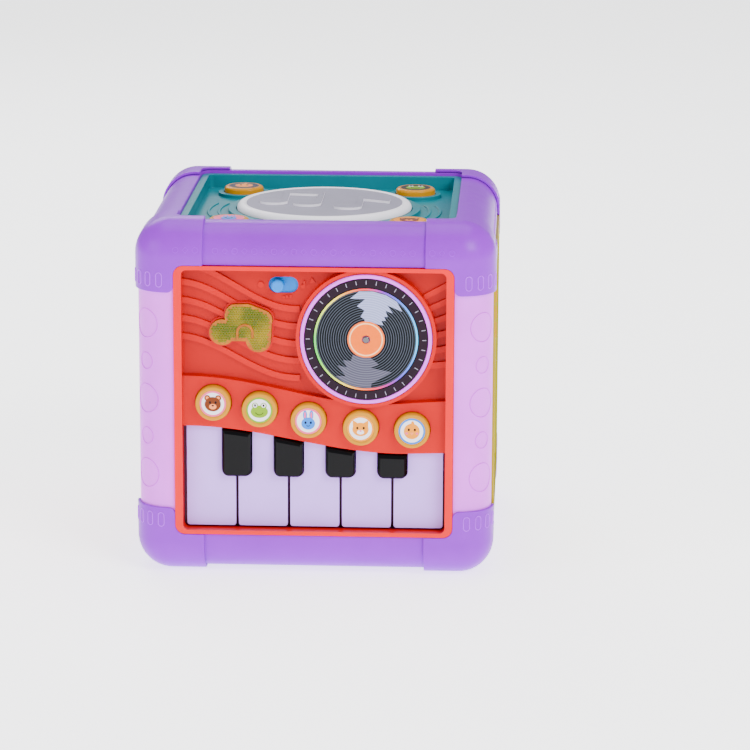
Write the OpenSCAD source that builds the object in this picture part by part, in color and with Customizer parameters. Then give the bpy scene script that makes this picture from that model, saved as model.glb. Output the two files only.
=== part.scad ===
// Baby activity cube: a 200 mm plastic cube with a piano and turntable face, a drum on top,
// a shape sorter with four blocks, a pair of gears, a loudspeaker back and a battery base.
// Millimetres, Z up. The cube stands on Z = 0, centred on X = Y = 0, and its piano face looks
// along -Y. Depths such as floor_face are distances out from the cube's centre line.

/* [Cube body] */
// overall width across the corner caps
cube_w = 200; // [160:1:240]
// how far the corner caps stand proud of the posts and bars
cap_proud = 1.8; // [1:0.1:3]
// radius of the cube's rounded edges, measured on the posts
edge_r = 18; // [10:0.5:25]
// wall of the posts, bars and caps' carrier frame
shell_wall = 3; // [2:0.1:4]
// length of each corner cap's three legs
cap_leg = 39; // [25:0.5:50]
// half width of the opening for a face panel
face_half_w = 77.1; // [60:0.1:85]
// half height of the opening for a side panel
face_half_h = 76.2; // [70:0.1:80]
// corner radius of those openings
face_r = 5.5; // [2:0.1:12]
// facets round the ball corners
round_fn = 32; // [16:4:48]

/* [Side panels] */
// outer level of every panel's rim
rim_face = 99.6; // [97:0.1:100]
// width of a rim at the sides
rim_w = 4.3; // [2:0.1:8]
// width of a side panel's rim at its top and bottom
rim_h = 2.3; // [2:0.1:4]
// how far the gear face's rim reaches out from the middle
left_rim = 98.4; // [97:0.1:99.6]
// outer level of the recessed floor inside a rim
floor_face = 91.5; // [85:0.1:96]
// thickness of a panel floor
floor_t = 2.2; // [1.5:0.1:4]
// upper level of the drum face's rim, under the tops of the bars
top_rim = 196.4; // [194:0.1:199]

/* [Turntable] */
// turntable centre, right of the middle
tt_x = 28.8; // [0:0.1:35]
// turntable centre height
tt_z = 135.9; // [132:0.1:138]
// outer radius of the collar round it
collar_r = 38.7; // [30:0.1:42]
// radius of the lilac platter
platter_r = 36.3; // [35.8:0.1:36.8]
// radius of the record disc
record_r = 34.0; // [33.5:0.1:34.7]
// number of strobe ticks round the record
tick_count = 36; // [12:1:60]
// radius where the strobe ticks start
tick_r = 30.9; // [29.8:0.1:31.2]
// length of a strobe tick
tick_len = 2.2; // [1.5:0.1:2.4]
// width of a strobe tick
tick_w = 0.6; // [0.4:0.1:1.2]
// radius of the record's orange label
label_r = 10.2; // [6:0.1:14]
// radius of the steel axle
axle_r = 1.5; // [1:0.1:3]
// running clearance between a turning piece and its shaft, on the radius
run_gap = 0.05; // [0.02:0.01:0.1]

/* [Volume switch and window] */
// middle of the switch's slot, left to right
slot_x = -17; // [-20:0.1:-12]
// height of the switch
switch_z = 164.6; // [162:0.1:166]
// radius of the switch's round knob
knob_r = 3.6; // [3:0.1:4]
// half height of the slot
slot_half = 4.5; // [4.2:0.1:5]
// how far the window's flange spreads behind the panel
lens_flange = 1.6; // [1:0.1:2]

/* [Song buttons and ledge] */
// radius of a song button
song_r = 9.9; // [7:0.1:12]
// gap round a pushed piece in its hole
push_gap = 0.4; // [0.3:0.05:0.8]
// outer face of the ledge over the keys
ledge_face = 95.5; // [93:0.1:98]
// thickness of the ledge
ledge_t = 2.2; // [1.5:0.1:3]

/* [Keys] */
// number of white keys
white_count = 5; // [3:1:8]
// spacing of the white keys
key_pitch = 28.78; // [28.2:0.02:28.8]
// left edge of the first white key's pitch
key_x0 = -71.7; // [-71.8:0.05:-70]
// dark gap between white keys
key_gap = 1.5; // [0.8:0.1:3]
// width of a black key
black_w = 15.8; // [12:0.1:18]
// radius of its lower corners
black_r = 3.2; // [1.5:0.1:4]
// gap between it and the white keys round it
black_gap = 0.6; // [0.4:0.1:1]
// height of the black keys' lower ends
black_z = 56.5; // [50:0.1:60]
// height of the white keys' lower ends
white_z = 27.4; // [26:0.1:35]
// outer face of the white keys
white_face = 92.2; // [90:0.1:94]
// outer face of the black keys
black_face = 96.5; // [94:0.1:98]
// radius of the key hinge rod
rod_r = 1.5; // [1:0.1:3]
// hinge rod's depth from the cube's centre line
rod_d = 84; // [80:0.1:86]
// hinge rod's height
rod_z = 104; // [95:0.5:110]

/* [Drum] */
// radius of the drum pad
drum_r = 50; // [35:0.5:55]
// height of the drum pad's playing face
drum_top = 194.5; // [194:0.1:197]
// height of the raised notes on the pad
note_rise = 1.1; // [0.4:0.1:1.5]
// half width of a note's oval head
note_head_w = 8; // [5:0.1:9]
// half height of a note's oval head
note_head_h = 6.6; // [4:0.1:8]
// radius of a drum-face button
tap_r = 11.5; // [8:0.1:14]
// drum buttons' distance from the middle, left and right
tap_x = 50.4; // [49:0.1:54]
// drum buttons' distance from the middle, front and back
tap_y = 50.9; // [48:0.1:54]
// height of the drum buttons
tap_top = 194; // [192:0.1:199]
// height of the bosses round the drum buttons
boss_top = 190.6; // [189.5:0.1:192]

/* [Shape sorter] */
// distance of each block hole from the door's middle, front to back
hole_y = 31; // [26:0.5:34]
// distance of each block hole from the door's middle, up and down
hole_z = 33; // [26:0.5:36]
// length of a block
block_len = 26; // [20:0.5:32]
// clearance round a block in its hole
block_gap = 0.6; // [0.4:0.1:1.5]
// radius of the sorter door's hinge pins
pin_r = 1.5; // [1:0.1:2.5]

/* [Gears] */
// number of lobes on the orange gear
big_lobes = 12; // [9:1:16]
// number of lobes on the purple gear
small_lobes = 8; // [6:1:12]
// pitch radius for each lobe
lobe_pitch = 2.5; // [2:0.05:3]
// how far the lobes rise and fall
lobe_amp = 2.2; // [1:0.1:3]
// play between the gears' centres
mesh_play = 0.8; // [0.4:0.1:2]
// radius of the gear posts
post_r = 5; // [3:0.1:8]

/* [Electrics] */
// radius of an AA cell
cell_r = 7.25; // [7:0.05:7.3]
// length of an AA cell without its nub
cell_len = 49.2; // [48:0.1:50]
// number of AA cells
cell_count = 3; // [2:1:4]
// radius of the loudspeaker
speaker_r = 28; // [24:0.5:30]
// where the battery door's screw sits, towards the back
door_screw_y = 27.2; // [26.8:0.1:27.3]

/* [Hidden] */
$fn = 64;
eps = 0.1;
mid_z = cube_w / 2;
cap_half = cube_w / 2;
cap_side = cap_half - 0.2;
cap_thick = cap_proud - 0.1;
frame_half = cap_half - cap_proud;
ball_c = frame_half - edge_r;
cap_r = cap_side - ball_c;
inner_half = frame_half - shell_wall;
split_z = 66;
floor_back = floor_face - floor_t;
rim_out_w = face_half_w - 0.1;
rim_out_h = face_half_h - 0.2;
rim_in_w = rim_out_w - rim_w;
rim_in_h = rim_out_h - rim_h;
flange_w = 81;
flange_h = 81.8;
flange_face = inner_half - 0.2;
flange_back = flange_face - 2;
ledge_back = ledge_face - ledge_t;
plate_t = 2.5;
bed_face = 85.2;
bed_back = 83.2;
arm_w = 8;
arm_face = 86.6;
arm_back = 84.4;
song_flange_r = song_r + 1.1;
song_face = 99.5;
big_r = big_lobes * lobe_pitch;
small_r = small_lobes * lobe_pitch;
mesh_dist = big_r + small_r + mesh_play;
mesh_ang = 225;
big_y = 22;
big_z = 122;
small_y = big_y + mesh_dist * cos(mesh_ang);
small_z = big_z + mesh_dist * sin(mesh_ang);
door_half = 66;
hinge_x = 93.5;
hinge_y = 65.5;
knuckle_r = 3;
bin_wall = 2;
screw_xy = 60;
door_screw_x = 8;
step_top = 190.9;
lens_face = 95.6;
plate_face = 90.2;
pocket_face = 90.5;
switch_x = -20;
plate_x0 = -32;
plate_w = 25;
plate_half = 6.3;
switch_travel = 7;

purple = [0.70, 0.35, 0.98];
lilac = [0.87, 0.74, 0.99];
red = [0.97, 0.24, 0.26];
teal = [0.20, 0.72, 0.76];
yellow = [1.0, 0.78, 0.08];
key_white = [0.93, 0.91, 0.97];
jet = [0.05, 0.05, 0.06];
lime = [0.82, 0.84, 0.24];
orange = [0.97, 0.50, 0.10];
steel = [0.75, 0.76, 0.78];
board_green = [0.10, 0.42, 0.20];

// ---- outlines -------------------------------------------------------------------------

function arc(cx, cy, r, a0, a1, n) =
  [for (i = [0:n]) [cx + r * cos(a0 + (a1 - a0) * i / n), cy + r * sin(a0 + (a1 - a0) * i / n)]];

function round_rect(hx, hy, r, n) = concat(
  arc(hx - r, hy - r, r, 0, 90, n),
  arc(r - hx, hy - r, r, 90, 180, n),
  arc(r - hx, r - hy, r, 180, 270, n),
  arc(hx - r, r - hy, r, 270, 360, n));

module rr(hx, hy, r, n = 6)
  polygon(round_rect(hx, hy, r, n));

// a bar with round ends between two points
module bar(p, q, w) {
  ang = atan2(q[1] - p[1], q[0] - p[0]);
  polygon(concat(
    arc(q[0], q[1], w / 2, ang - 90, ang + 90, 10),
    arc(p[0], p[1], w / 2, ang + 90, ang + 270, 10)));
}

// lower and upper edges of the swooping ledge over the keys
function ledge_low(x) = x < 49 ? 78 + 7.2 * cos(1.5 * (x + 71)) : 70.8 + (x - 49) / 30;
function ledge_top(x) = x < 39 ? 106 + 7.4 * cos(180 * (x + 71) / 110) : 98.6 + (x - 39) / 14;

// centre line of one staff line as it sweeps in from the left
function staff(x, mean, amp) = mean + amp * cos(180 * min(x + 76, 66) / 66);

function strip(x0, x1, n, mean, amp, up) =
  [for (i = [0:n]) let(x = x0 + (x1 - x0) * i / n) [x, staff(x, mean, amp) + up]];

function low_edge(x0, x1, n, up) =
  [for (i = [0:n]) let(x = x0 + (x1 - x0) * i / n) [x, ledge_low(x) + up]];

function top_edge(x0, x1, n, up) =
  [for (i = [0:n]) let(x = x1 + (x0 - x1) * i / n) [x, ledge_top(x) + up]];

function shape_low(x0, x1, n, up) =
  [for (i = [0:n]) let(x = x1 + (x0 - x1) * i / n) [x, ledge_low(x) + up]];

function star_points(r_tip, r_dip) =
  [for (i = [0:9]) let(r = i % 2 == 0 ? r_tip : r_dip) [r * cos(90 + 36 * i), r * sin(90 + 36 * i)]];

function lobe_points(rp, lobes, turn) =
  [for (i = [0:lobes * 16 - 1])
    let(a = i * 360 / (lobes * 16), r = rp + lobe_amp * cos(lobes * (a - turn)))
    [r * cos(a), r * sin(a)]];

// ---- working directions: each slab runs from depth d0 out to depth d1 ---------------------

module front(d0, d1)
  translate([0, -d0, 0])
    rotate([90, 0, 0])
      linear_extrude(d1 - d0)
        children();

module right(d0, d1)
  translate([d0, 0, 0])
    rotate([90, 0, 90])
      linear_extrude(d1 - d0)
        children();

module left(d0, d1)
  mirror([1, 0, 0])
    right(d0, d1)
      children();

module back(d0, d1)
  mirror([0, 1, 0])
    front(d0, d1)
      children();

module up(z0, z1)
  translate([0, 0, z0])
    linear_extrude(z1 - z0)
      children();

// turned pieces: profiles are given as radius and depth
module front_turned(x, z)
  translate([x, 0, z])
    rotate([90, 0, 0])
      rotate_extrude($fn = 96)
        children();

module left_turned(y, z)
  translate([0, y, z])
    rotate([0, -90, 0])
      rotate_extrude($fn = 96)
        children();

// ---- cube body ---------------------------------------------------------------------------

module ball_box(half_w, half_h, r)
  translate([0, 0, mid_z])
    hull()
      for (x = [-1, 1], y = [-1, 1], z = [-1, 1])
        translate([x * (half_w - r), y * (half_w - r), z * (half_h - r)])
          sphere(r / cos(180 / round_fn), $fn = round_fn);

module side_cut()
  translate([0, mid_z])
    rr(face_half_w, face_half_h, face_r);

// the three pairs of openings for the six panels
module face_cuts() {
  front(-110, 110)
    side_cut();
  right(-110, 110)
    side_cut();
  up(-10, cube_w + 10)
    rr(face_half_w, face_half_w, face_r);
}

module frame_end(z0, z1)
  difference() {
    intersection() {
      ball_box(frame_half, frame_half, edge_r);
      translate([-110, -110, z0])
        cube([220, 220, z1 - z0]);
    }
    ball_box(inner_half, inner_half, edge_r - shell_wall);
    face_cuts();
  }

module top_frame()
  color(purple)
    frame_end(mid_z + split_z, cube_w);

module bottom_frame()
  color(purple)
    frame_end(0, mid_z - split_z);

// one corner post: an angle with a rounded nose and raised dots down its corner line
module post(sx, sy)
  mirror([sx < 0 ? 1 : 0, 0, 0])
    mirror([0, sy < 0 ? 1 : 0, 0]) {
      up(mid_z - split_z + 0.05, mid_z + split_z - 0.05)
        difference() {
          rr(frame_half, frame_half, edge_r, 12);
          rr(inner_half, inner_half, edge_r - shell_wall, 12);
          translate([-110, -110])
            square([110 + face_half_w, 220]);
          translate([-110, -110])
            square([220, 110 + face_half_w]);
        }
      for (k = [-2:2])
        post_dot(k * 21.3, k % 2 == 0 ? 8.35 : 4.9);
    }

module post_dot(dz, r)
  translate([ball_c, ball_c, mid_z + dz])
    rotate([0, 0, 45])
      intersection() {
        translate([edge_r - 1.8, 0, 0])
          rotate([0, 90, 0])
            cylinder(h = 4, r = r);
        translate([0, 0, -r - 1])
          cylinder(h = 2 * r + 2, r = edge_r + 0.4);
      }

module post_front_left()
  color(lilac)
    post(-1, -1);

module post_front_right()
  color(lilac)
    post(1, -1);

module post_back_left()
  color(lilac)
    post(-1, 1);

module post_back_right()
  color(lilac)
    post(1, 1);

// one corner cap: a thin skin over the frame with four raised ovals on its upright leg
module cap(sx, sy, sz)
  mirror([sx < 0 ? 1 : 0, 0, 0])
    mirror([0, sy < 0 ? 1 : 0, 0])
      translate([0, 0, mid_z])
        mirror([0, 0, sz < 0 ? 1 : 0])
          translate([0, 0, -mid_z]) {
            difference() {
              intersection() {
                ball_box(cap_side, cap_half, cap_r);
                translate([cap_half - cap_leg, cap_half - cap_leg, cube_w - cap_leg])
                  cube(cap_leg + 10);
              }
              ball_box(cap_side - cap_thick + 0.2, cap_half - cap_thick, cap_r - cap_thick + 0.2);
              face_cuts();
            }
            for (a = [12:22:78])
              cap_oval(a);
          }

module cap_oval(a)
  translate([ball_c, ball_c, mid_z + 68])
    rotate([0, 0, a])
      intersection() {
        translate([cap_r - 0.6, 0, 0])
          rotate([90, 0, 90])
            linear_extrude(3)
              difference() {
                bar([0, -2.2], [0, 2.2], 3.9);
                bar([0, -2.2], [0, 2.2], 2.5);
              }
        translate([0, 0, -5])
          cylinder(h = 10, r = cap_r + 0.3);
      }

module cap_top_front_left()
  color(purple)
    cap(-1, -1, 1);

module cap_top_front_right()
  color(purple)
    cap(1, -1, 1);

module cap_top_back_left()
  color(purple)
    cap(-1, 1, 1);

module cap_top_back_right()
  color(purple)
    cap(1, 1, 1);

module cap_base_front_left()
  color(purple)
    cap(-1, -1, -1);

module cap_base_front_right()
  color(purple)
    cap(1, -1, -1);

module cap_base_back_left()
  color(purple)
    cap(-1, 1, -1);

module cap_base_back_right()
  color(purple)
    cap(1, 1, -1);

// ---- panel parts shared by the four sides -------------------------------------------------

module rim_ring()
  translate([0, mid_z])
    difference() {
      rr(rim_out_w, rim_out_h, 5.4);
      rr(rim_in_w, rim_in_h, 3);
    }

module flange_ring()
  translate([0, mid_z])
    difference() {
      rr(flange_w, flange_h, 4);
      rr(rim_out_w - 0.6, rim_out_h - 0.6, 4);
    }

module floor_sheet()
  translate([0, mid_z])
    square([2 * rim_in_w + 2, 2 * rim_in_h + 2], center = true);

// ---- piano face ---------------------------------------------------------------------------

song_x = [-55.6, -29.9, -2.9, 26.0, 54.3];
song_z = [98.7, 95.4, 89.6, 85.8, 84.7];

function key_edge(i) = key_x0 + i * key_pitch;
function key_mid(i) = key_x0 + (i + 0.5) * key_pitch;

// staff lines: five on the left, sweeping down to the turntable, and six short ones on the right
staff_x0 = -73.2;
staff_x1 = -8;
staff_half = 1.7;
staff_rise = 1.6;
function staff_mean(k) = 163.8 - 9.95 * k;
function staff_amp(k) = 12.5 - 0.25 * k;

// the double-note window, grown outwards by g
module note_shape(g) {
  translate([-50.5, 138.3])
    circle(7.2 + g);
  translate([-30.6, 134.3])
    circle(7 + g);
  bar([-46, 148], [-45.8, 138], 6.2 + 2 * g);
  bar([-43.4, 148.6], [-37, 148.7], 11 + 2 * g);
  bar([-37, 148.7], [-28.4, 145.4], 11.2 + 2 * g);
  bar([-28, 145], [-28.3, 136], 9.6 + 2 * g);
  // clear web that fills the arch between the stems
  polygon([[-45, 133.4 - g], [-34, 133.4 - g], [-34, 147], [-45, 147]]);
}

module staff_lines()
  intersection() {
    staff_bands();
    translate([0, mid_z])
      square([2 * rim_in_w + 1, 2 * rim_in_h + 1], center = true);
  }

module staff_bands() {
  for (k = [0:4])
    polygon(concat(
      strip(staff_x0, staff_x1, 18, staff_mean(k), staff_amp(k), -staff_half),
      [for (p = strip(staff_x0, staff_x1, 18, staff_mean(k), staff_amp(k), staff_half))
        let(x = staff_x0 + staff_x1 - p[0])
        [x, staff(x, staff_mean(k), staff_amp(k)) + staff_half]]));
  for (k = [0:5])
    polygon([
      [60, 158.6 - 7.75 * k - staff_half], [rim_in_w + 0.5, 165.9 - 8.9 * k - staff_half],
      [rim_in_w + 0.5, 165.9 - 8.9 * k + staff_half], [60, 158.6 - 7.75 * k + staff_half]]);
}

module front_panel()
  color(red)
    difference() {
      union() {
        front(floor_back, rim_face)
          rim_ring();
        front(flange_back, flange_face)
          flange_ring();
        // floor above the keys
        front(floor_back, floor_face)
          polygon(concat(
            low_edge(-rim_in_w - 1, rim_in_w + 1, 30, 2.2),
            [[rim_in_w + 1, mid_z + rim_in_h + 1], [-rim_in_w - 1, mid_z + rim_in_h + 1]]));
        // key well: side walls, bottom wall and bed
        front(bed_back, floor_back + 1)
          difference() {
            translate([-rim_out_w, mid_z - rim_out_h])
              square([2 * rim_out_w, 37]);
            translate([-rim_in_w, mid_z - rim_in_h])
              square([2 * rim_in_w, 60]);
          }
        front(bed_back, bed_face)
          translate([-rim_in_w - 1, mid_z - rim_in_h - 1])
            square([2 * rim_in_w + 2, 33.2]);
        // cheeks that close the gaps beside the first and last keys
        front(bed_back, 90)
          for (x = [-rim_in_w - 1, rim_in_w - 0.9])
            translate([x, mid_z - rim_in_h - 1])
              square([x < 0 ? 2.4 : 1.9, 65.7]);
        // swooping ledge, its upper wall and the webs that carry it
        front(ledge_back, ledge_face)
          polygon(concat(
            low_edge(-rim_in_w - 1, rim_in_w + 1, 30, 0),
            top_edge(-rim_in_w - 1, rim_in_w + 1, 30, 0)));
        front(floor_face - 0.5, ledge_back + 0.5)
          polygon(concat(
            [for (p = top_edge(-rim_in_w - 1, rim_in_w + 1, 30, 0)) p],
            [for (i = [0:30])
              let(x = (rim_in_w + 1) * (i / 15 - 1))
              [x, ledge_top(x) - 2]]));
        for (x = [-43, -16.5, 11.8, 40])
          front(floor_face - 0.5, ledge_back + 0.5)
            translate([x - 0.8, ledge_low(x) + 3])
              square([1.6, ledge_top(x) - ledge_low(x) - 4]);
        // turntable collar and axle boss
        front(floor_face - 0.5, 97.5)
          translate([tt_x, tt_z])
            difference() {
              circle(collar_r, $fn = 96);
              circle(platter_r + push_gap, $fn = 96);
            }
        front(79, floor_back + 0.5)
          translate([tt_x, tt_z])
            circle(5);
        // staff lines sweeping in from both sides
        front(floor_face - 0.5, floor_face + staff_rise)
          difference() {
            staff_lines();
            translate([tt_x, tt_z])
              circle(collar_r - 0.5, $fn = 96);
            note_shape(0.5);
            translate([slot_x, switch_z])
              square([19, 12], center = true);
          }
        // raised lip round the note window
        front(floor_face - 0.5, 93.4)
          note_shape(1);
        switch_marks();
        // rails that guide the switch
        for (z = [switch_z - 8.2, switch_z + 6.6])
          front(87, floor_back + 0.5)
            translate([-38, z])
              square([44, 1.6]);
        // lugs that hold the key hinge rod
        for (x = [-68, 64])
          front(rod_d - 3, floor_back + 0.5)
            translate([x, 98.5])
              square([4, 10]);
      }
      front(79 - 1, 100)
        translate([tt_x, tt_z])
          circle(axle_r + 0.02);
      front(80, 100)
        note_shape(0.15);
      // slot for the knob, and the pocket its plate slides in
      front(80, 100)
        translate([slot_x, switch_z])
          rr(8.2, slot_half, slot_half - 0.1);
      front(80, pocket_face)
        translate([plate_x0 - 0.4, switch_z - plate_half - 0.3])
          square([plate_w + switch_travel + 0.8, 2 * plate_half + 0.6]);
      for (i = [0:4]) {
        front(ledge_back - 0.5, 101)
          translate([song_x[i], song_z[i]])
            circle(song_r + push_gap);
        front(88, ledge_back)
          translate([song_x[i], song_z[i]])
            circle(song_flange_r + 0.6);
      }
      translate([-90, -rod_d, rod_z])
        rotate([0, 90, 0])
          cylinder(h = 180, r = rod_r + 0.02);
    }

// small raised marks round the volume switch: a dot, a rising scale, a note and a triangle
module switch_marks()
  front(floor_face - 0.5, floor_face + 0.9) {
    translate([-29.4, switch_z])
      circle(1.7);
    for (k = [0:2])
      translate([slot_x - 0.4 + 1.9 * k, switch_z - 7.3])
        square([1.1, 1.2 + 0.4 * k]);
    translate([-6.2, switch_z - 0.8])
      circle(1.1);
    translate([-5.9, switch_z - 0.8])
      square([0.9, 3.4]);
    translate([-1.2, switch_z + 2.8])
      polygon([[-1.7, -1.5], [1.7, -1.5], [0, 1.6]]);
  }

module turntable_platter()
  color(lilac)
    front_turned(tt_x, tt_z)
      polygon([
        [axle_r + run_gap, 91.9], [5, 91.9], [5, 95.3], [record_r + 0.2, 95.3],
        [record_r + 0.2, 91.9], [platter_r, 91.9], [platter_r, 98.0], [platter_r - 0.5, 98.5],
        [record_r + 0.4, 98.5], [record_r + 0.2, 98.3], [record_r + 0.2, 97.3],
        [axle_r + run_gap, 97.3]]);

module record_disc()
  color(jet)
    union() {
      front_turned(tt_x, tt_z)
        polygon([
          [2.3, 97.35], [record_r, 97.35], [record_r, 98.3], [29.2, 98.3], [29, 98.1],
          [label_r + 0.3, 98.1], [label_r, 98.3], [2.3, 98.3]]);
      front(98.2, 98.7)
        translate([tt_x, tt_z])
          for (k = [0:tick_count - 1])
            rotate(k * 360 / tick_count)
              translate([tick_r, -tick_w / 2])
                square([tick_len, tick_w]);
    }

module turntable_axle()
  color(steel)
    front_turned(tt_x, tt_z)
      polygon([
        [0, 79.2], [axle_r, 79.2], [axle_r, 97.7], [1.95, 97.7], [1.95, 98.6], [1.5, 99.0],
        [0, 99.0]]);

module note_lens()
  color([0.95, 0.72, 0.12, 0.7])
    union() {
      front(89.1, lens_face)
        note_shape(0);
      front(87.8, floor_back - 0.1)
        note_shape(lens_flange);
    }

module switch_slider()
  color(teal)
    union() {
      front(88.9, plate_face)
        translate([plate_x0, switch_z - plate_half])
          square([plate_w, 2 * plate_half]);
      front_turned(switch_x, switch_z)
        polygon([
          [0, 89.5], [knob_r, 89.5], [knob_r, 95.3], [knob_r - 0.4, 96.1],
          [knob_r - 1.4, 96.5], [0, 96.5]]);
    }

module song_button(i)
  color(yellow)
    front_turned(song_x[i], song_z[i])
      polygon([
        [0, 90.9], [4, 90.9], [4, 91.9], [song_flange_r, 91.9], [song_flange_r, 93],
        [song_r, 93], [song_r, 98.2], [song_r - 0.4, 99.1], [song_r - 1.3, song_face],
        [0, song_face]]);

module song_button_1()
  song_button(0);

module song_button_2()
  song_button(1);

module song_button_3()
  song_button(2);

module song_button_4()
  song_button(3);

module song_button_5()
  song_button(4);

// hinge arm behind the panel: web, arm and eye on the rod
module key_arm(x, z_web, z_arm)
  difference() {
    union() {
      front(arm_back, white_face - plate_t + 0.1)
        translate([x - arm_w / 2, z_web])
          square([arm_w, 6]);
      front(arm_back, arm_face)
        translate([x - arm_w / 2, z_arm])
          square([arm_w, rod_z - z_arm]);
      translate([x - arm_w / 2, -rod_d, rod_z])
        rotate([0, 90, 0])
          cylinder(h = arm_w, r = 2.6);
    }
    translate([x - arm_w, -rod_d, rod_z])
      rotate([0, 90, 0])
        cylinder(h = 2 * arm_w, r = rod_r + run_gap);
  }

module white_key(i)
  color(key_white)
    union() {
      front(white_face - plate_t, white_face)
        difference() {
          polygon(concat(
            arc(key_edge(i) + key_gap / 2 + 1.5, white_z + 1.5, 1.5, 180, 270, 4),
            arc(key_edge(i + 1) - key_gap / 2 - 1.5, white_z + 1.5, 1.5, 270, 360, 4),
            shape_low(key_edge(i) + key_gap / 2, key_edge(i + 1) - key_gap / 2, 8, 1.2)));
          for (j = [i, i + 1])
            if (j > 0 && j < white_count)
              black_outline(key_edge(j), -black_gap, 10);
        }
      key_arm(key_mid(i), 60, 60);
    }

module white_key_1()
  white_key(0);

module white_key_2()
  white_key(1);

module white_key_3()
  white_key(2);

module white_key_4()
  white_key(3);

module white_key_5()
  white_key(4);

// outline of a black key: its top edge follows the ledge, up by a set amount
module black_outline(x, inset, up)
  polygon(concat(
    arc(x - black_w / 2 + black_r, black_z + black_r, black_r - inset, 180, 270, 6),
    arc(x + black_w / 2 - black_r, black_z + black_r, black_r - inset, 270, 360, 6),
    shape_low(x - black_w / 2 + inset, x + black_w / 2 - inset, 6, up)));

module black_step(x, d, inset, up)
  front(d - 0.05, d)
    black_outline(x, inset, up);

// flat tongue under the ledge, then a raised body that rounds off just below it
module black_key(i)
  color(jet)
    union() {
      front(white_face - plate_t, 92.75)
        black_outline(key_edge(i), 0, 1);
      hull() {
        black_step(key_edge(i), 92.75, 0, -0.6);
        black_step(key_edge(i), black_face - 1.2, 0, -1.4);
        black_step(key_edge(i), black_face, 1.2, -3);
      }
      key_arm(key_edge(i), 66, 62);
    }

module black_key_1()
  black_key(1);

module black_key_2()
  black_key(2);

module black_key_3()
  black_key(3);

module black_key_4()
  black_key(4);

module key_hinge_rod()
  color(steel)
    translate([-68.4, -rod_d, rod_z])
      rotate([0, 90, 0])
        cylinder(h = 136.8, r = rod_r);

// rubber strip with one dome behind each key's arm
module key_membrane()
  color([0.35, 0.36, 0.40])
    union() {
      front(80.05, 80.9)
        translate([-64, 60])
          square([128, 10]);
      for (i = [0:white_count - 1])
        membrane_dome(key_mid(i));
      for (i = [1:white_count - 1])
        membrane_dome(key_edge(i));
    }

module membrane_dome(x)
  front_turned(x, 65)
    polygon([[0, 80.4], [3.4, 80.4], [2.4, 81.9], [0, 81.9]]);

module button_board()
  color(board_green)
    front(87.2, 88.6)
      polygon(concat(
        low_edge(-62, 62, 24, 3.4),
        top_edge(-62, 62, 24, -3)));

module main_board()
  color(board_green)
    union() {
      front(78.4, 80)
        translate([-64, 32])
          square([128, 62]);
      front(77, 78.5)
        translate([-9, 50])
          square([18, 18]);
      for (x = [-40, 32])
        front(76.6, 78.5)
          translate([x, 72])
            square([10, 7]);
    }

// ---- drum face ---------------------------------------------------------------------------

module tap_places()
  for (x = [-tap_x, tap_x], y = [-tap_y, tap_y])
    translate([x, y])
      children();

module top_panel()
  color(teal)
    difference() {
      union() {
        up(186.3, top_rim)
          difference() {
            rr(rim_out_w, rim_out_w, 5.4);
            rr(rim_in_w, rim_in_w, 3);
          }
        up(mid_z + flange_back, mid_z + flange_face)
          difference() {
            rr(flange_w, flange_w, 4);
            rr(rim_out_w - 0.6, rim_out_w - 0.6, 4);
          }
        up(186.3, 188.5)
          square(2 * rim_in_w + 2, center = true);
        // stepped ring round the pad
        up(188, step_top)
          circle(drum_r + 5, $fn = 96);
        // ripples between the corner bosses
        up(188, 189.3)
          intersection() {
            for (r = [59.5, 65.5])
              difference() {
                circle(r + 1.6, $fn = 96);
                circle(r, $fn = 96);
              }
            union() {
              square([44, 200], center = true);
              square([200, 40], center = true);
            }
          }
        up(188, boss_top)
          tap_places()
            circle(tap_r + 3.5);
      }
      up(188.5, 195)
        circle(drum_r + 0.5, $fn = 96);
      up(180, 195)
        circle(41, $fn = 96);
      up(180, 195)
        tap_places()
          circle(tap_r + push_gap);
    }

module drum_pad()
  color([0.86, 0.87, 0.90])
    union() {
      rotate_extrude($fn = 96)
        polygon([
          [0, drum_top - 2.3], [38, drum_top - 2.3], [38, 184], [40, 184], [40, drum_top - 2.3],
          [drum_r - 1.8, drum_top - 2.3], [drum_r - 1.8, step_top - 0.1],
          [drum_r, step_top - 0.1], [drum_r, drum_top - 1.9], [drum_r - 0.6, drum_top - 0.6],
          [drum_r - 1.9, drum_top], [0, drum_top]]);
      up(drum_top - 0.5, drum_top + note_rise) {
        // pair of joined notes
        note_head(-28.7, -5);
        note_head(-9.3, -10);
        polygon([
          [-24.4, -4], [-20.9, -6], [-20.9, 19], [-4.6, 17], [-4.6, -10], [-1.3, -9], [-1.3, 26],
          [-24.4, 28]]);
        // single note
        note_head(14.3, -18);
        polygon([
          [19.2, -17], [22.3, -17], [22.3, 4], [37.5, -3], [37.5, 5.5], [22.3, 12], [19.2, 12]]);
      }
    }

// the oval head of a raised note
module note_head(x, y)
  translate([x, y])
    polygon([for (a = [0:10:350]) [note_head_w * cos(a), note_head_h * sin(a)]]);

module drum_button(x, y)
  color(yellow)
    translate([x, y, 0])
      rotate_extrude($fn = 72)
        polygon([
          [0, 184], [tap_r + 1.5, 184], [tap_r + 1.5, 185.9], [tap_r, 185.9],
          [tap_r, tap_top - 1.5], [tap_r - 0.5, tap_top - 0.5], [tap_r - 1.5, tap_top],
          [0, tap_top]]);

module drum_button_1()
  drum_button(-tap_x, -tap_y);

module drum_button_2()
  drum_button(tap_x, -tap_y);

module drum_button_3()
  drum_button(-tap_x, tap_y);

module drum_button_4()
  drum_button(tap_x, tap_y);

// ---- shape sorter ---------------------------------------------------------------------------

module butterfly(g) {
  for (s = [-1, 1]) {
    translate([s * 9.8, 8.6])
      circle(11.4 + g);
    translate([s * 8.6, -10])
      circle(9.6 + g);
  }
  square([16, 20], center = true);
}

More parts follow.
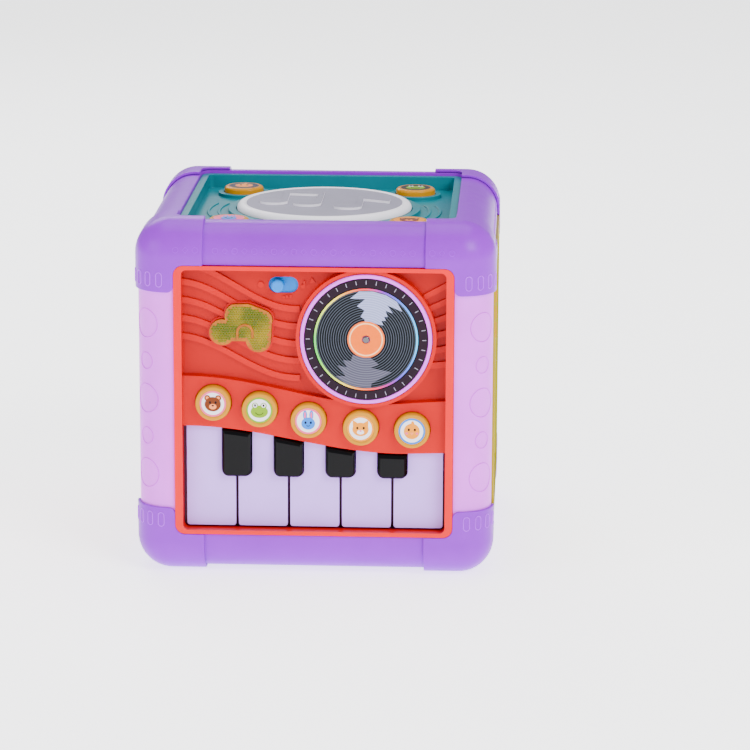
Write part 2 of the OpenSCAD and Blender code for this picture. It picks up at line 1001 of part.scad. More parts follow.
module star(g)
  polygon(star_points(22.5 + 1.5 * g, 12.6 + 1.1 * g));

module hexagon(g)
  polygon([for (a = [30:60:330]) [(22 + 1.16 * g) * cos(a), (22 + 1.16 * g) * sin(a)]]);

module disc(g)
  circle(20.8 + g, $fn = 72);

module at_hole(sy, sz)
  translate([sy * hole_y, mid_z + sz * hole_z])
    children();

// all four outlines in their places, grown by g
module sorter_shapes(g) {
  at_hole(-1, 1)
    star(g);
  at_hole(1, 1)
    butterfly(g);
  at_hole(-1, -1)
    hexagon(g);
  at_hole(1, -1)
    disc(g);
}

module sorter_frame()
  color(lime)
    difference() {
      union() {
        right(floor_back, rim_face)
          rim_ring();
        right(flange_back, flange_face)
          flange_ring();
        right(floor_face, 94.5)
          floor_sheet();
        for (s = [-1, 1])
          translate([hinge_x - 3.4, hinge_y - 3.5, mid_z + s * 69.6 - 2.7])
            cube([6.8, 7, 5.4]);
      }
      translate([80, -door_half - 0.6, mid_z - door_half - 0.6])
        cube([30, door_half + 0.6 + hinge_y + knuckle_r + 0.4, 2 * door_half + 1.2]);
      translate([hinge_x, hinge_y, 20])
        cylinder(h = 160, r = pin_r + 0.06);
    }

module sorter_door()
  color(lime)
    difference() {
      union() {
        right(92, 95)
          translate([-door_half, mid_z - door_half])
            square([door_half + hinge_y, 2 * door_half]);
        right(94.5, 96.6)
          sorter_shapes(3.2);
        translate([hinge_x, hinge_y, mid_z - door_half])
          cylinder(h = 2 * door_half, r = knuckle_r);
        translate([hinge_x, hinge_y, mid_z - door_half - 4])
          cylinder(h = 2 * door_half + 8, r = pin_r);
        // finger pull on the free edge
        right(94.5, 98.4)
          translate([-door_half, mid_z - 12])
            square([2.4, 24]);
      }
      right(80, 110)
        sorter_shapes(block_gap);
    }

module block_star()
  color(yellow)
    union() {
      right(96 - block_len, 96)
        at_hole(-1, 1)
          star(0);
      right(95.5, 96.8)
        at_hole(-1, 1)
          difference() {
            star(-4);
            star(-6);
          }
    }

module block_butterfly()
  color(purple)
    union() {
      right(96 - block_len, 96)
        at_hole(1, 1)
          butterfly(0);
      right(95.5, 96.8)
        at_hole(1, 1)
          for (s = [-1, 1]) {
            translate([s * 10, 8.6])
              circle(5.5);
            translate([s * 8.8, -10])
              circle(4.5);
          }
    }

module block_hexagon()
  color(orange)
    union() {
      right(96 - block_len, 96)
        at_hole(-1, -1)
          hexagon(0);
      right(95.5, 96.8)
        at_hole(-1, -1)
          difference() {
            hexagon(-4);
            hexagon(-6.5);
          }
    }

module block_round()
  color([0.35, 0.75, 0.30])
    union() {
      right(96 - block_len, 96)
        at_hole(1, -1)
          disc(0);
      right(95.5, 96.8)
        at_hole(1, -1)
          difference() {
            disc(-3);
            disc(-5);
          }
    }

// bin behind the sorter: catches posted blocks and shuts them off from the works
module block_bin()
  color([0.80, 0.80, 0.84])
    difference() {
      union() {
        translate([-84, -70, 28])
          cube([173, 142, 140]);
        // legs that take the base screws
        for (x = [-screw_xy, screw_xy], y = [-screw_xy, screw_xy])
          translate([x, y, 8.1])
            cylinder(h = 20.5, r = 4.5);
        // stops under the drum buttons and the drum
        for (x = [-tap_x, tap_x], y = [-tap_y, tap_y])
          translate([x, y, 167])
            cylinder(h = 14.7, r = 4);
        for (a = [0:90:270])
          rotate(a)
            translate([39, 0, 167])
              cylinder(h = 14.8, r = 3);
        // pegs behind the main board
        for (x = [-58, 58], z = [38, 88])
          translate([x, -69, z])
            rotate([90, 0, 0])
              cylinder(h = 9.35, r = 3);
      }
      translate([-84 + bin_wall, -70 + bin_wall, 28 + bin_wall])
        cube([200, 142 - 2 * bin_wall, 140 - 2 * bin_wall]);
      for (x = [-screw_xy, screw_xy], y = [-screw_xy, screw_xy])
        translate([x, y, 7])
          cylinder(h = 13, r = 1.6);
    }

// ---- gear face ---------------------------------------------------------------------------

module gear_post(y, z)
  left_turned(y, z)
    polygon([
      [0, 91], [post_r, 91], [post_r, 97.2], [post_r + 0.8, 97.2], [post_r + 0.8, 97.8],
      [post_r, 98.4], [0, 98.4]]);

module left_panel()
  color(red)
    union() {
      left(floor_back, left_rim)
        rim_ring();
      left(flange_back, flange_face)
        flange_ring();
      left(floor_back, floor_face)
        floor_sheet();
      gear_post(big_y, big_z);
      gear_post(small_y, small_z);
      // raised arcs round the gears
      left(floor_face - 0.5, floor_face + 1) {
        intersection() {
          translate([big_y, big_z])
            difference() {
              circle(big_r + 8, $fn = 96);
              circle(big_r + 5.5, $fn = 96);
            }
          translate([-80, 100])
            square([160, 71]);
          translate([0, 30])
            square([70, 150]);
        }
      }
    }

module gear(rp, lobes, turn, y, z)
  difference() {
    union() {
      left(92.2, 97.6)
        translate([y, z])
          polygon(lobe_points(rp, lobes, turn));
      left(97.5, 98.6)
        translate([y, z])
          difference() {
            circle(rp - 5);
            circle(rp - 8);
          }
      left(97.5, 98.6)
        translate([y, z])
          circle(post_r + 4);
    }
    left(90, 100)
      translate([y, z])
        circle(post_r + run_gap);
    left(96.9, 100)
      translate([y, z])
        circle(post_r + 1.3);
  }

module gear_orange()
  color(orange)
    gear(big_r, big_lobes, mesh_ang, big_y, big_z);

module gear_purple()
  color(purple)
    gear(small_r, small_lobes, mesh_ang + 180 + 180 / small_lobes, small_y, small_z);

// ---- loudspeaker face ---------------------------------------------------------------------

grille_z = 118;

module back_panel()
  color(teal)
    difference() {
      union() {
        back(floor_back, rim_face)
          rim_ring();
        back(flange_back, flange_face)
          flange_ring();
        back(floor_back, floor_face)
          floor_sheet();
        back(floor_face - 0.5, floor_face + 1.4)
          translate([0, grille_z])
            difference() {
              circle(speaker_r + 6, $fn = 96);
              circle(speaker_r + 3, $fn = 96);
            }
        // cup that holds the loudspeaker
        back(84.5, floor_back + 0.5)
          translate([0, grille_z])
            difference() {
              circle(speaker_r + 2.4, $fn = 96);
              circle(speaker_r + 0.4, $fn = 96);
            }
        for (k = [0:2])
          back(floor_face - 0.5, floor_face + 1.2)
            translate([0, 46 + 10 * k])
              rr(56 - 6 * k, 1.6, 1.5);
      }
      for (k = [-3:3])
        back(80, 100)
          translate([7 * k, grille_z])
            rr(1.5, sqrt(625 - 49 * k * k), 1.4);
    }

module speaker()
  color([0.20, 0.20, 0.22])
    translate([0, 0, grille_z])
      rotate([-90, 0, 0])
        rotate_extrude($fn = 72)
          polygon([
            [0, 77], [15, 77], [15, 82], [20, 84], [speaker_r, 86.2], [speaker_r, 89.2],
            [speaker_r - 3, 89.2], [12, 84.8], [8, 86], [0, 87]]);

// ---- base ---------------------------------------------------------------------------------

module base_panel()
  color(purple)
    difference() {
      union() {
        up(mid_z - rim_face, 7)
          difference() {
            rr(rim_out_w, rim_out_w, 5.4);
            rr(rim_in_w, rim_in_w, 3);
          }
        up(mid_z - flange_face, mid_z - flange_back)
          difference() {
            rr(flange_w, flange_w, 4);
            rr(rim_out_w - 0.6, rim_out_w - 0.6, 4);
          }
        up(2, 4.2)
          square(2 * rim_in_w + 2, center = true);
        // battery box
        up(4, 23)
          square([56, 66], center = true);
        for (x = [-screw_xy, screw_xy], y = [-screw_xy, screw_xy])
          translate([x, y, 4])
            cylinder(h = 4, r = 5.5);
      }
      difference() {
        union() {
          up(5.6, 21.4)
            square([52, 62], center = true);
          up(4, 6)
            square([47, 57], center = true);
        }
        // boss for the door's screw, carried by the end wall
        up(4, 11) {
          translate([door_screw_x, door_screw_y])
            circle(2.4);
          translate([door_screw_x - 2.4, door_screw_y])
            square([4.8, 4.3]);
        }
      }
      up(1, 4.1)
        square([51.2, 61.2], center = true);
      translate([door_screw_x, door_screw_y, 0])
        cylinder(h = 10.6, r = 1.4);
      for (x = [-screw_xy, screw_xy], y = [-screw_xy, screw_xy]) {
        translate([x, y, 1])
          cylinder(h = 4, r = 3.7);
        translate([x, y, 1])
          cylinder(h = 10, r = 1.75);
      }
    }

module battery_door()
  color(purple)
    difference() {
      union() {
        up(2, 4)
          square([50.6, 60.6], center = true);
        for (y = [-18:6:6])
          up(1.5, 2.5)
            translate([0, y])
              rr(14, 1, 0.9);
      }
      translate([door_screw_x, door_screw_y, 1])
        cylinder(h = 2.3, r = 2.8);
      translate([door_screw_x, door_screw_y, 0])
        cylinder(h = 6, r = 1.4);
    }

module batteries()
  color([0.15, 0.15, 0.17])
    for (k = [0:cell_count - 1])
      translate([(k - (cell_count - 1) / 2) * 16, 0, 13])
        rotate([k % 2 == 0 ? 90 : -90, 0, 0])
          rotate_extrude($fn = 48)
            polygon([
              [0, -cell_len / 2], [cell_r, -cell_len / 2], [cell_r, cell_len / 2],
              [2.7, cell_len / 2], [2.7, cell_len / 2 + 1.2], [0, cell_len / 2 + 1.2]]);

// base screws and the battery door's screw, all cross-headed
module case_screws()
  color(steel) {
    for (x = [-screw_xy, screw_xy], y = [-screw_xy, screw_xy])
      translate([x, y, 0])
        cross_screw(3.3, 1.5, 3, 4.8, 18);
    translate([door_screw_x, door_screw_y, 0])
      cross_screw(2.6, 1.2, 2.1, 3.2, 10);
  }

module cross_screw(head_r, shaft_r, z0, z1, z2)
  difference() {
    rotate_extrude($fn = 48)
      polygon([[0, z0], [head_r, z0], [head_r, z1], [shaft_r, z1], [shaft_r, z2], [0, z2]]);
    translate([0, 0, z0])
      cube([head_r * 1.3, 0.8, 1.4], center = true);
    translate([0, 0, z0])
      cube([0.8, head_r * 1.3, 1.4], center = true);
  }

top_frame();
bottom_frame();
post_front_left();
post_front_right();
post_back_left();
post_back_right();
cap_top_front_left();
cap_top_front_right();
cap_top_back_left();
cap_top_back_right();
cap_base_front_left();
cap_base_front_right();
cap_base_back_left();
cap_base_back_right();
front_panel();
turntable_platter();
record_disc();
turntable_axle();
note_lens();
switch_slider();
song_button_1();
song_button_2();
song_button_3();
song_button_4();
song_button_5();
white_key_1();
white_key_2();
white_key_3();
white_key_4();
white_key_5();
black_key_1();
black_key_2();
black_key_3();
black_key_4();
key_hinge_rod();
key_membrane();
button_board();
main_board();
top_panel();
drum_pad();
drum_button_1();
drum_button_2();
drum_button_3();
drum_button_4();
sorter_frame();
sorter_door();
block_butterfly();
block_star();
block_hexagon();
block_round();
left_panel();
gear_orange();
gear_purple();
back_panel();
speaker();
base_panel();
battery_door();
batteries();
case_screws();
block_bin();
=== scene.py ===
"""Looks for the baby activity cube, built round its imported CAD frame. Metres, Z up."""

import math

import bmesh
import bpy
from mathutils import Matrix, Vector


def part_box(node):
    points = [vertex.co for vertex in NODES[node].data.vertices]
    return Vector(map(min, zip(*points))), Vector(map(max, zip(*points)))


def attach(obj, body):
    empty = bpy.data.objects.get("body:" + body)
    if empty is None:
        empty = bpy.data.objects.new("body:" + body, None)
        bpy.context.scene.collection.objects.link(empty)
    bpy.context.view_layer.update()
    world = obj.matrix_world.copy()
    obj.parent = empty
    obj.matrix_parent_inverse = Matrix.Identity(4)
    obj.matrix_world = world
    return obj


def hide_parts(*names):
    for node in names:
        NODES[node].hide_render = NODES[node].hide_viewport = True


MM = 0.001

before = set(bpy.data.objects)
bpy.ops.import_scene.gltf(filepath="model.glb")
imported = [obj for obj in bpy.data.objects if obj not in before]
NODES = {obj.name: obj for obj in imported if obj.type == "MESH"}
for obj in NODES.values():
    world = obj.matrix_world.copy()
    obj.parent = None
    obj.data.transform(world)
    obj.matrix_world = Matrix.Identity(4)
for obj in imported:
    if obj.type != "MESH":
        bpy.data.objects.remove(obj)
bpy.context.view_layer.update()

# sizes in millimetres that the smoother pieces share with the CAD frame
MID_Z = 100.0
FRAME_HALF = 98.2
EDGE_R = 18.0
WALL = 3.0
BALL_C = FRAME_HALF - EDGE_R
CAP_HALF = 100.0
CAP_SIDE = 99.8
CAP_R = CAP_SIDE - BALL_C
CAP_SKIN = 1.5
CAP_LEG = 39.0
LEG_R = 3.5
OPEN_W = 77.1
OPEN_H = 76.2
OPEN_R = 5.5
SPLIT = 66.0
DOT_STEP = 21.3
NOTE_RISE = 1.1
# radii on the record, and the pitch of its grooves
HOLE_R = 2.3
LABEL_R = 10.2
GROOVE = 1.3
GROOVES_END = 27.2
RAINBOW_IN = 27.4
RAINBOW_OUT = 28.9
# the half-width and the height at which cutting shapes end, clear of the cube
PAST = 110
OVER = 210

# depth of a moulded surface's fine texture, in metres
GRAIN = 0.00001
# how the big boxes' and every piece's edges are rounded and shaded
BOX_STEPS = 14
BEVEL_STEPS = 3
BEVEL_ANGLE = 28
SMOOTH_ANGLE = 38


def centre(node):
    """The middle of a CAD node at rest, in millimetres."""
    low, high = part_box(node)
    return [(a + b) / 2 / MM for a, b in zip(low, high)]


def front_of(node):
    """How far a CAD node stands out towards -Y, in millimetres."""
    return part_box(node)[0][1] / -MM


def top_of(node):
    """The height of a CAD node's top, in millimetres."""
    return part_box(node)[1][2] / MM


TT_X, _, TT_Z = centre("turntable_platter")


# ---- colours ----


def srgb(r, g, b):
    """A colour given as the eye sees it, 0 to 255, in linear light."""
    out = []
    for v in (r, g, b):
        v = v / 255
        out.append(v / 12.92 if v <= 0.04045 else ((v + 0.055) / 1.055) ** 2.4)
    return (*out, 1.0)


# the view transform pales strong colours, so the plastics are mixed deeper than they look
PURPLE = srgb(138, 0, 200)
# painted highlight: a lighter copy of the purple for the embossed motifs
PURPLE_MOTIF_HIGHLIGHT = srgb(156, 8, 220)
# painted highlight: a lighter copy of the purple for the caps' raised ovals
PURPLE_OVAL_HIGHLIGHT = srgb(188, 56, 246)
LILAC = srgb(230, 96, 250)
# painted shade: a darker copy of the lilac for the posts' raised rings
LILAC_DOT_SHADE = srgb(212, 66, 234)
# painted shade: the red of the panel's floor, darker where it lies deepest
RED_FLOOR_SHADE = srgb(174, 0, 0)
RED = srgb(192, 0, 2)
# painted highlight: the red of the panel's rim, paler where it stands proud
RED_RIM_HIGHLIGHT = srgb(226, 0, 16)
# painted shade: plum for deep in the key well
PLUM_WELL_SHADE = srgb(88, 26, 64)
TEAL = srgb(0, 114, 126)
SKY = srgb(0, 122, 214)
YELLOW = srgb(192, 128, 0)
KEY_WHITE = srgb(198, 156, 250)
BLACK = srgb(5, 5, 7)
LIME = srgb(164, 156, 0)
ORANGE = srgb(240, 84, 0)
GREEN = srgb(30, 130, 10)
PAD_WHITE = srgb(240, 236, 244)
# painted shade: grey for the drum pad's top sitting down in the box
PAD_GREY_SHADE = srgb(136, 132, 150)
RIM_PLUM = srgb(34, 20, 32)
PALE = srgb(255, 200, 150)
PINK = srgb(240, 80, 130)


# ---- materials ----


class Shader:
    """A small helper round one material's node tree."""

    def __init__(self, name):
        self.material = bpy.data.materials.new(name)
        self.material.use_nodes = True
        self.tree = self.material.node_tree
        self.bsdf = self.tree.nodes["Principled BSDF"]
        self.coords = self.node("ShaderNodeTexCoord").outputs["Object"]

    def node(self, kind, **settings):
        made = self.tree.nodes.new(kind)
        for key, value in settings.items():
            setattr(made, key, value)
        return made

    def link(self, source, target):
        self.tree.links.new(source, target)

    def noise(self, scale, detail=3.0, rough=0.55):
        """Noise in object space, which is the row frame, so scale counts per metre."""
        made = self.node("ShaderNodeTexNoise")
        made.inputs["Scale"].default_value = scale
        made.inputs["Detail"].default_value = detail
        made.inputs["Roughness"].default_value = rough
        self.link(self.coords, made.inputs["Vector"])
        return made.outputs["Fac"]

    def axes(self):
        made = self.node("ShaderNodeSeparateXYZ")
        self.link(self.coords, made.inputs[0])
        return made.outputs["X"], made.outputs["Y"], made.outputs["Z"]

    def math(self, operation, *values):
        """One math step; each value is a socket or a number."""
        made = self.node("ShaderNodeMath", operation=operation)
        for place, value in zip(made.inputs, values):
            if isinstance(value, (int, float)):
                place.default_value = value
            else:
                self.link(value, place)
        return made.outputs[0]

    def from_turntable(self):
        """Offsets in x and z from the turntable's axis, and the distance from it, in metres."""
        x, _, z = self.axes()
        dx = self.math("SUBTRACT", x, TT_X * MM)
        dz = self.math("SUBTRACT", z, TT_Z * MM)
        squares = self.math("ADD", self.math("MULTIPLY", dx, dx), self.math("MULTIPLY", dz, dz))
        return dx, dz, self.math("SQRT", squares)

    def between(self, value, low, high):
        above = self.math("GREATER_THAN", value, low)
        return self.math("MULTIPLY", above, self.math("LESS_THAN", value, high))

    def mix(self, factor, under, over):
        """Colours: under where factor is 0, over where it is 1."""
        made = self.node("ShaderNodeMix", data_type="RGBA")
        for place, value in ((0, factor), (6, under), (7, over)):
            if isinstance(value, tuple):
                made.inputs[place].default_value = value
            else:
                self.link(value, made.inputs[place])
        return made.outputs[2]

    def ramp(self, source, stops, steps=False):
        """Maps a value through (position, colour) stops."""
        made = self.node("ShaderNodeValToRGB")
        ramp = made.color_ramp
        if steps:
            ramp.interpolation = "CONSTANT"
        while len(ramp.elements) < len(stops):
            ramp.elements.new(0.5)
        for element, (at, colour) in zip(ramp.elements, stops):
            element.position = at
            element.color = colour
        self.link(source, made.inputs["Fac"])
        return made.outputs["Color"]

    def span(self, source, low, high):
        """Maps 0..1 to low..high."""
        made = self.node("ShaderNodeMapRange")
        made.inputs["To Min"].default_value = low
        made.inputs["To Max"].default_value = high
        self.link(source, made.inputs["Value"])
        return made.outputs["Result"]

    def colour(self, source):
        self.link(source, self.bsdf.inputs["Base Color"])

    def bump(self, height, distance):
        made = self.node("ShaderNodeBump")
        made.inputs["Distance"].default_value = distance
        self.link(height, made.inputs["Height"])
        self.link(made.outputs["Normal"], self.bsdf.inputs["Normal"])

    def moulded(self, rough=0.3, grain=GRAIN, glow=0.04, shine=0.14):
        """Fine surface texture, a soft sheen and a little light carried under the surface."""
        uneven = self.span(self.noise(160.0), rough - 0.04, rough + 0.06)
        self.link(uneven, self.bsdf.inputs["Roughness"])
        self.bump(self.noise(700.0, 2.0), grain)
        self.bsdf.inputs["Specular IOR Level"].default_value = shine
        self.bsdf.inputs["Subsurface Weight"].default_value = glow
        self.bsdf.inputs["Subsurface Radius"].default_value = (0.004, 0.003, 0.003)
        self.bsdf.inputs["Subsurface Scale"].default_value = 0.5

    def mottled(self, colour, scale=38.0):
        """The faint flow mottling of coloured plastic."""
        return self.ramp(self.noise(scale), [(0.3, tone(colour, 0.95)), (0.72, tone(colour, 1.04))])


def tone(colour, factor):
    """A lighter or darker shade of a colour."""
    return (*[min(1.0, c * factor) for c in colour[:3]], 1.0)


def plastic(name, colour, rough=0.3, grain=GRAIN, glow=0.04, shine=0.14):
    """Moulded ABS."""
    s = Shader(name)
    s.colour(s.mottled(colour))
    s.moulded(rough, grain, glow, shine)
    return s.material


def panel_red_painted_light():
    """Red ABS with painted light: paler on what stands proud as a painted highlight, darker on the
    floor as painted shade, and plum painted shade deep in the key well.
    """
    floor_y, rim_y, well_y, well_top = -0.0912, -0.0996, -0.0906, 0.0905
    s = Shader("panel_red_painted_light")
    _, y, z = s.axes()
    # how far a point stands proud of the floor, which sets the painted light and shade
    proud = s.node("ShaderNodeMapRange")
    proud.inputs["From Min"].default_value = floor_y
    proud.inputs["From Max"].default_value = rim_y
    s.link(y, proud.inputs["Value"])
    # painted shade on the floor, painted highlight on the rim
    stops = [(0.02, RED_FLOOR_SHADE), (0.2, RED), (0.7, RED), (1.0, RED_RIM_HIGHLIGHT)]
    worn = s.ramp(s.noise(38.0), [(0.3, (0.95, 0.95, 0.95, 1)), (0.72, (1.04, 1.04, 1.04, 1))])
    painted_light_and_mottle = s.node("ShaderNodeMix", data_type="RGBA", blend_type="MULTIPLY")
    painted_light_and_mottle.inputs[0].default_value = 1.0
    s.link(s.ramp(proud.outputs["Result"], stops), painted_light_and_mottle.inputs[6])
    s.link(worn, painted_light_and_mottle.inputs[7])
    # the key well, which gets the plum painted shade
    behind = s.math("GREATER_THAN", y, well_y)
    deep = s.math("MULTIPLY", behind, s.math("LESS_THAN", z, well_top))
    s.colour(s.mix(deep, painted_light_and_mottle.outputs[2], PLUM_WELL_SHADE))
    s.moulded()
    return s.material


def steel(name, colour):
    """Brushed metal."""
    s = Shader(name)
    s.colour(s.mottled(colour, 60.0))
    s.bsdf.inputs["Metallic"].default_value = 1.0
    s.link(s.span(s.noise(900.0), 0.14, 0.26), s.bsdf.inputs["Roughness"])
    return s.material


def window_plastic(name, bright, dark, scale):
    """Tinted plastic: a smooth surface, and a colour that shifts as if it caught the light."""
    s = Shader(name)
    s.colour(s.ramp(s.noise(scale, 2.0), [(0.35, dark), (0.65, bright)]))
    s.link(s.span(s.noise(300.0), 0.08, 0.2), s.bsdf.inputs["Roughness"])
    s.bsdf.inputs["Specular IOR Level"].default_value = 0.2
    s.bsdf.inputs["Subsurface Weight"].default_value = 0.1
    s.bsdf.inputs["Subsurface Radius"].default_value = (0.003, 0.003, 0.001)
    s.bsdf.inputs["Subsurface Scale"].default_value = 0.5
    return s.material


def note_plastic():
    """The drum's raised notes: grey on top as painted shade, like the inlay, and white down their
    sides.
    """
    s = Shader("note_plastic")
    _, _, z = s.axes()
    level = (top_of("drum_pad") - 0.09) * MM
    # the notes' tops take the grey painted shade
    shaded_top = s.math("GREATER_THAN", z, level)
    s.colour(s.mix(shaded_top, s.mottled(PAD_WHITE), s.mottled(PAD_GREY_SHADE)))
    s.moulded(0.35)
    return s.material


# colours round the record's ring, as (clockwise angle from the top, colour)
RAINBOW = [
    (0, (236, 70, 76)), (20, (124, 52, 190)), (38, (84, 100, 224)), (65, (80, 170, 242)),
    (92, (80, 200, 250)), (120, (80, 130, 232)), (140, (104, 70, 204)), (157, (180, 50, 140)),
    (172, (240, 66, 72)), (190, (248, 136, 60)), (205, (250, 216, 80)), (222, (188, 226, 84)),
    (245, (96, 208, 76)), (270, (96, 204, 98)), (295, (188, 226, 84)), (318, (244, 230, 90)),
    (338, (248, 146, 60)), (352, (240, 70, 74)),
]


def record_print():
    """The printed record: grooves, an orange label with a pale ring, a rainbow and a plum rim."""
    s = Shader("record_print")
    dx, dz, away = s.from_turntable()
    radius = s.math("MULTIPLY", away, 1 / MM)
    clockwise = s.math("DIVIDE", s.math("ARCTAN2", dx, dz), math.tau)
    turn = s.math("FRACT", s.math("ADD", clockwise, 1.0))
    line = s.math("FRACT", s.math("DIVIDE", radius, GROOVE))
    grey = srgb(70, 76, 88)
    dark = srgb(7, 9, 11)
    grooves = s.ramp(line, [(0.0, dark), (0.52, dark), (0.74, grey), (0.9, grey), (1.0, dark)])
    pale_ring = s.between(radius, 8.6, 9.3)
    label = s.mix(pale_ring, s.mottled(srgb(246, 106, 12), 260.0), PALE)
    rainbow = s.ramp(turn, [(a / 360, srgb(*c)) for a, c in RAINBOW])
    face = s.mix(s.math("LESS_THAN", radius, LABEL_R), grooves, label)
    face = s.mix(s.between(radius, RAINBOW_IN + 0.1, RAINBOW_OUT - 0.3), face, rainbow)
    face = s.mix(s.math("GREATER_THAN", radius, RAINBOW_OUT + 0.3), face, RIM_PLUM)
    s.colour(face)
    s.moulded(0.34, glow=0.0, shine=0.08)
    return s.material


def gleam(name, dark, light):
    """A printed gleam on the record, with the groove lines still showing faintly."""
    s = Shader(name)
    _, _, away = s.from_turntable()
    line = s.math("FRACT", s.math("DIVIDE", away, GROOVE * MM))
    s.colour(s.ramp(line, [(0.45, dark), (0.8, light), (1.0, dark)]))
    s.moulded(0.34, glow=0.0, shine=0.08)
    return s.material


MATS = {
    "purple": plastic("purple_plastic", PURPLE),
    "lilac": plastic("lilac_plastic", LILAC, rough=0.36),
    "red": panel_red_painted_light(),
    "side_red": plastic("side_red", RED),
    "teal": plastic("teal_plastic", TEAL),
    "sky": plastic("sky_plastic", SKY),
    "yellow": plastic("yellow_plastic", YELLOW, rough=0.22),
    "white": plastic("white_plastic", KEY_WHITE, rough=0.24),
    "black": plastic("black_plastic", BLACK, rough=0.2, grain=0.000004, glow=0.0, shine=0.12),
    "lime": plastic("lime_plastic", LIME),
    "orange": plastic("orange_plastic", ORANGE),
    "green": plastic("green_plastic", GREEN),
    "pad_white": plastic("pad_white", PAD_WHITE),
    "pad_grey_shade": plastic("pad_grey_shade", PAD_GREY_SHADE, rough=0.4),
    "dark": plastic("dark_plastic", srgb(48, 46, 54), rough=0.5),
    "bin": plastic("bin_plastic", srgb(150, 148, 158), rough=0.5),
    "board": plastic("circuit_board", srgb(8, 84, 40), rough=0.4),
    "steel": steel("steel", srgb(204, 204, 210)),
    "dark_steel": steel("dark_steel", srgb(96, 92, 96)),
    "window": window_plastic("window_amber", srgb(172, 98, 0), srgb(146, 76, 0), 200.0),
    "prisms": window_plastic("window_prisms", srgb(132, 116, 0), srgb(72, 86, 0), 90.0),
    "purple_motif_highlight": plastic("purple_motif_highlight", PURPLE_MOTIF_HIGHLIGHT),
    "purple_oval_highlight": plastic("purple_oval_highlight", PURPLE_OVAL_HIGHLIGHT),
    "lilac_dot_shade": plastic("lilac_dot_shade", LILAC_DOT_SHADE, rough=0.36),
    "note": note_plastic(),
    "record": record_print(),
    "gleam_light": gleam("gleam_light", srgb(142, 148, 190), srgb(170, 176, 214)),
    "gleam_grey": gleam("gleam_grey", srgb(74, 74, 90), srgb(108, 106, 124)),
    "tick": plastic("tick_print", srgb(150, 144, 164), glow=0.0),
    "print_white": plastic("print_white", srgb(236, 232, 240), glow=0.0),
    "print_pink": plastic("print_pink", PINK, glow=0.0),
    "print_lime": plastic("print_lime", srgb(120, 160, 10), glow=0.0),
    "print_sky": plastic("print_sky", srgb(30, 120, 220), glow=0.0),
    "print_gold": plastic("print_gold", srgb(236, 142, 0), glow=0.0),
    "print_brown": plastic("print_brown", srgb(110, 48, 14), glow=0.0),
    "print_peach": plastic("print_peach", srgb(250, 140, 80), glow=0.0),
    "print_ink": plastic("print_ink", srgb(14, 10, 14), glow=0.0),
    "print_navy": plastic("print_navy", srgb(12, 12, 34), glow=0.0),
    "print_olive": plastic("print_olive", srgb(40, 36, 2), glow=0.0),
}


# ---- rounding and shading ----


def smooth_group(degrees):
    """Geometry nodes that shade smooth except across edges sharper than the angle."""
    group = bpy.data.node_groups.new("smooth_by_angle", "GeometryNodeTree")
    group.interface.new_socket("Geometry", in_out="INPUT", socket_type="NodeSocketGeometry")
    group.interface.new_socket("Geometry", in_out="OUTPUT", socket_type="NodeSocketGeometry")
    start = group.nodes.new("NodeGroupInput")
    end = group.nodes.new("NodeGroupOutput")
    angle = group.nodes.new("GeometryNodeInputMeshEdgeAngle")
    test = group.nodes.new("FunctionNodeCompare")
    test.operation = "LESS_THAN"
    test.inputs[1].default_value = math.radians(degrees)
    faces = group.nodes.new("GeometryNodeSetShadeSmooth")
    edges = group.nodes.new("GeometryNodeSetShadeSmooth")
    edges.domain = "EDGE"
    group.links.new(start.outputs[0], faces.inputs["Geometry"])
    group.links.new(faces.outputs[0], edges.inputs["Geometry"])
    group.links.new(angle.outputs["Unsigned Angle"], test.inputs[0])
    group.links.new(test.outputs[0], edges.inputs["Shade Smooth"])
    group.links.new(edges.outputs[0], end.inputs[0])
    return group


SMOOTH = smooth_group(SMOOTH_ANGLE)


def soften(obj, width, merge=True):
    """Rounds a piece's edges with modifiers only, so its own mesh stays as it came."""
    weld = obj.modifiers.new("weld", "WELD")
    weld.merge_threshold = 0.002 * MM
    if merge:
        flat = obj.modifiers.new("flat", "DECIMATE")
        flat.decimate_type = "DISSOLVE"
        flat.angle_limit = math.radians(0.5)
    if width > 0:
        bevel = obj.modifiers.new("bevel", "BEVEL")
        bevel.width = width * MM
        bevel.segments = BEVEL_STEPS
        bevel.limit_method = "ANGLE"
        bevel.angle_limit = math.radians(BEVEL_ANGLE)
        bevel.use_clamp_overlap = True
        bevel.miter_outer = "MITER_ARC"
    smooth = obj.modifiers.new("smooth", "NODES")
    smooth.node_group = SMOOTH
    normals = obj.modifiers.new("normals", "WEIGHTED_NORMAL")
    normals.keep_sharp = True


def dress(node, material, width, merge):
    """Gives a CAD node its material and rounds its edges."""
    obj = NODES[node]
    obj.data.materials.clear()
    obj.data.materials.append(MATS[material])
    soften(obj, width, merge)


# ---- mesh helpers, in millimetres ----


def place(name, mesh, materials, body="cube", slot="purple_plastic", stands_for=(), soft=0.0):
    """Makes a piece from a mesh in millimetres and lets it ride on a body. The materials are
    named in one string, in the order of the mesh's material numbers."""
    obj = bpy.data.objects.new(name, mesh)
    bpy.context.collection.objects.link(obj)
    mesh.transform(Matrix.Scale(MM, 4))
    for material in materials.split():
        mesh.materials.append(MATS[material])
    soften(obj, soft)
    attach(obj, body)
    if stands_for:
        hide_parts(*stands_for)
    return obj


def to_mesh(bm, name):
    """Ends a bmesh and gives its mesh, with every face looking outwards."""
    bmesh.ops.recalc_face_normals(bm, faces=bm.faces[:])
    mesh = bpy.data.meshes.new(name)
    bm.to_mesh(mesh)
    bm.free()
    return mesh


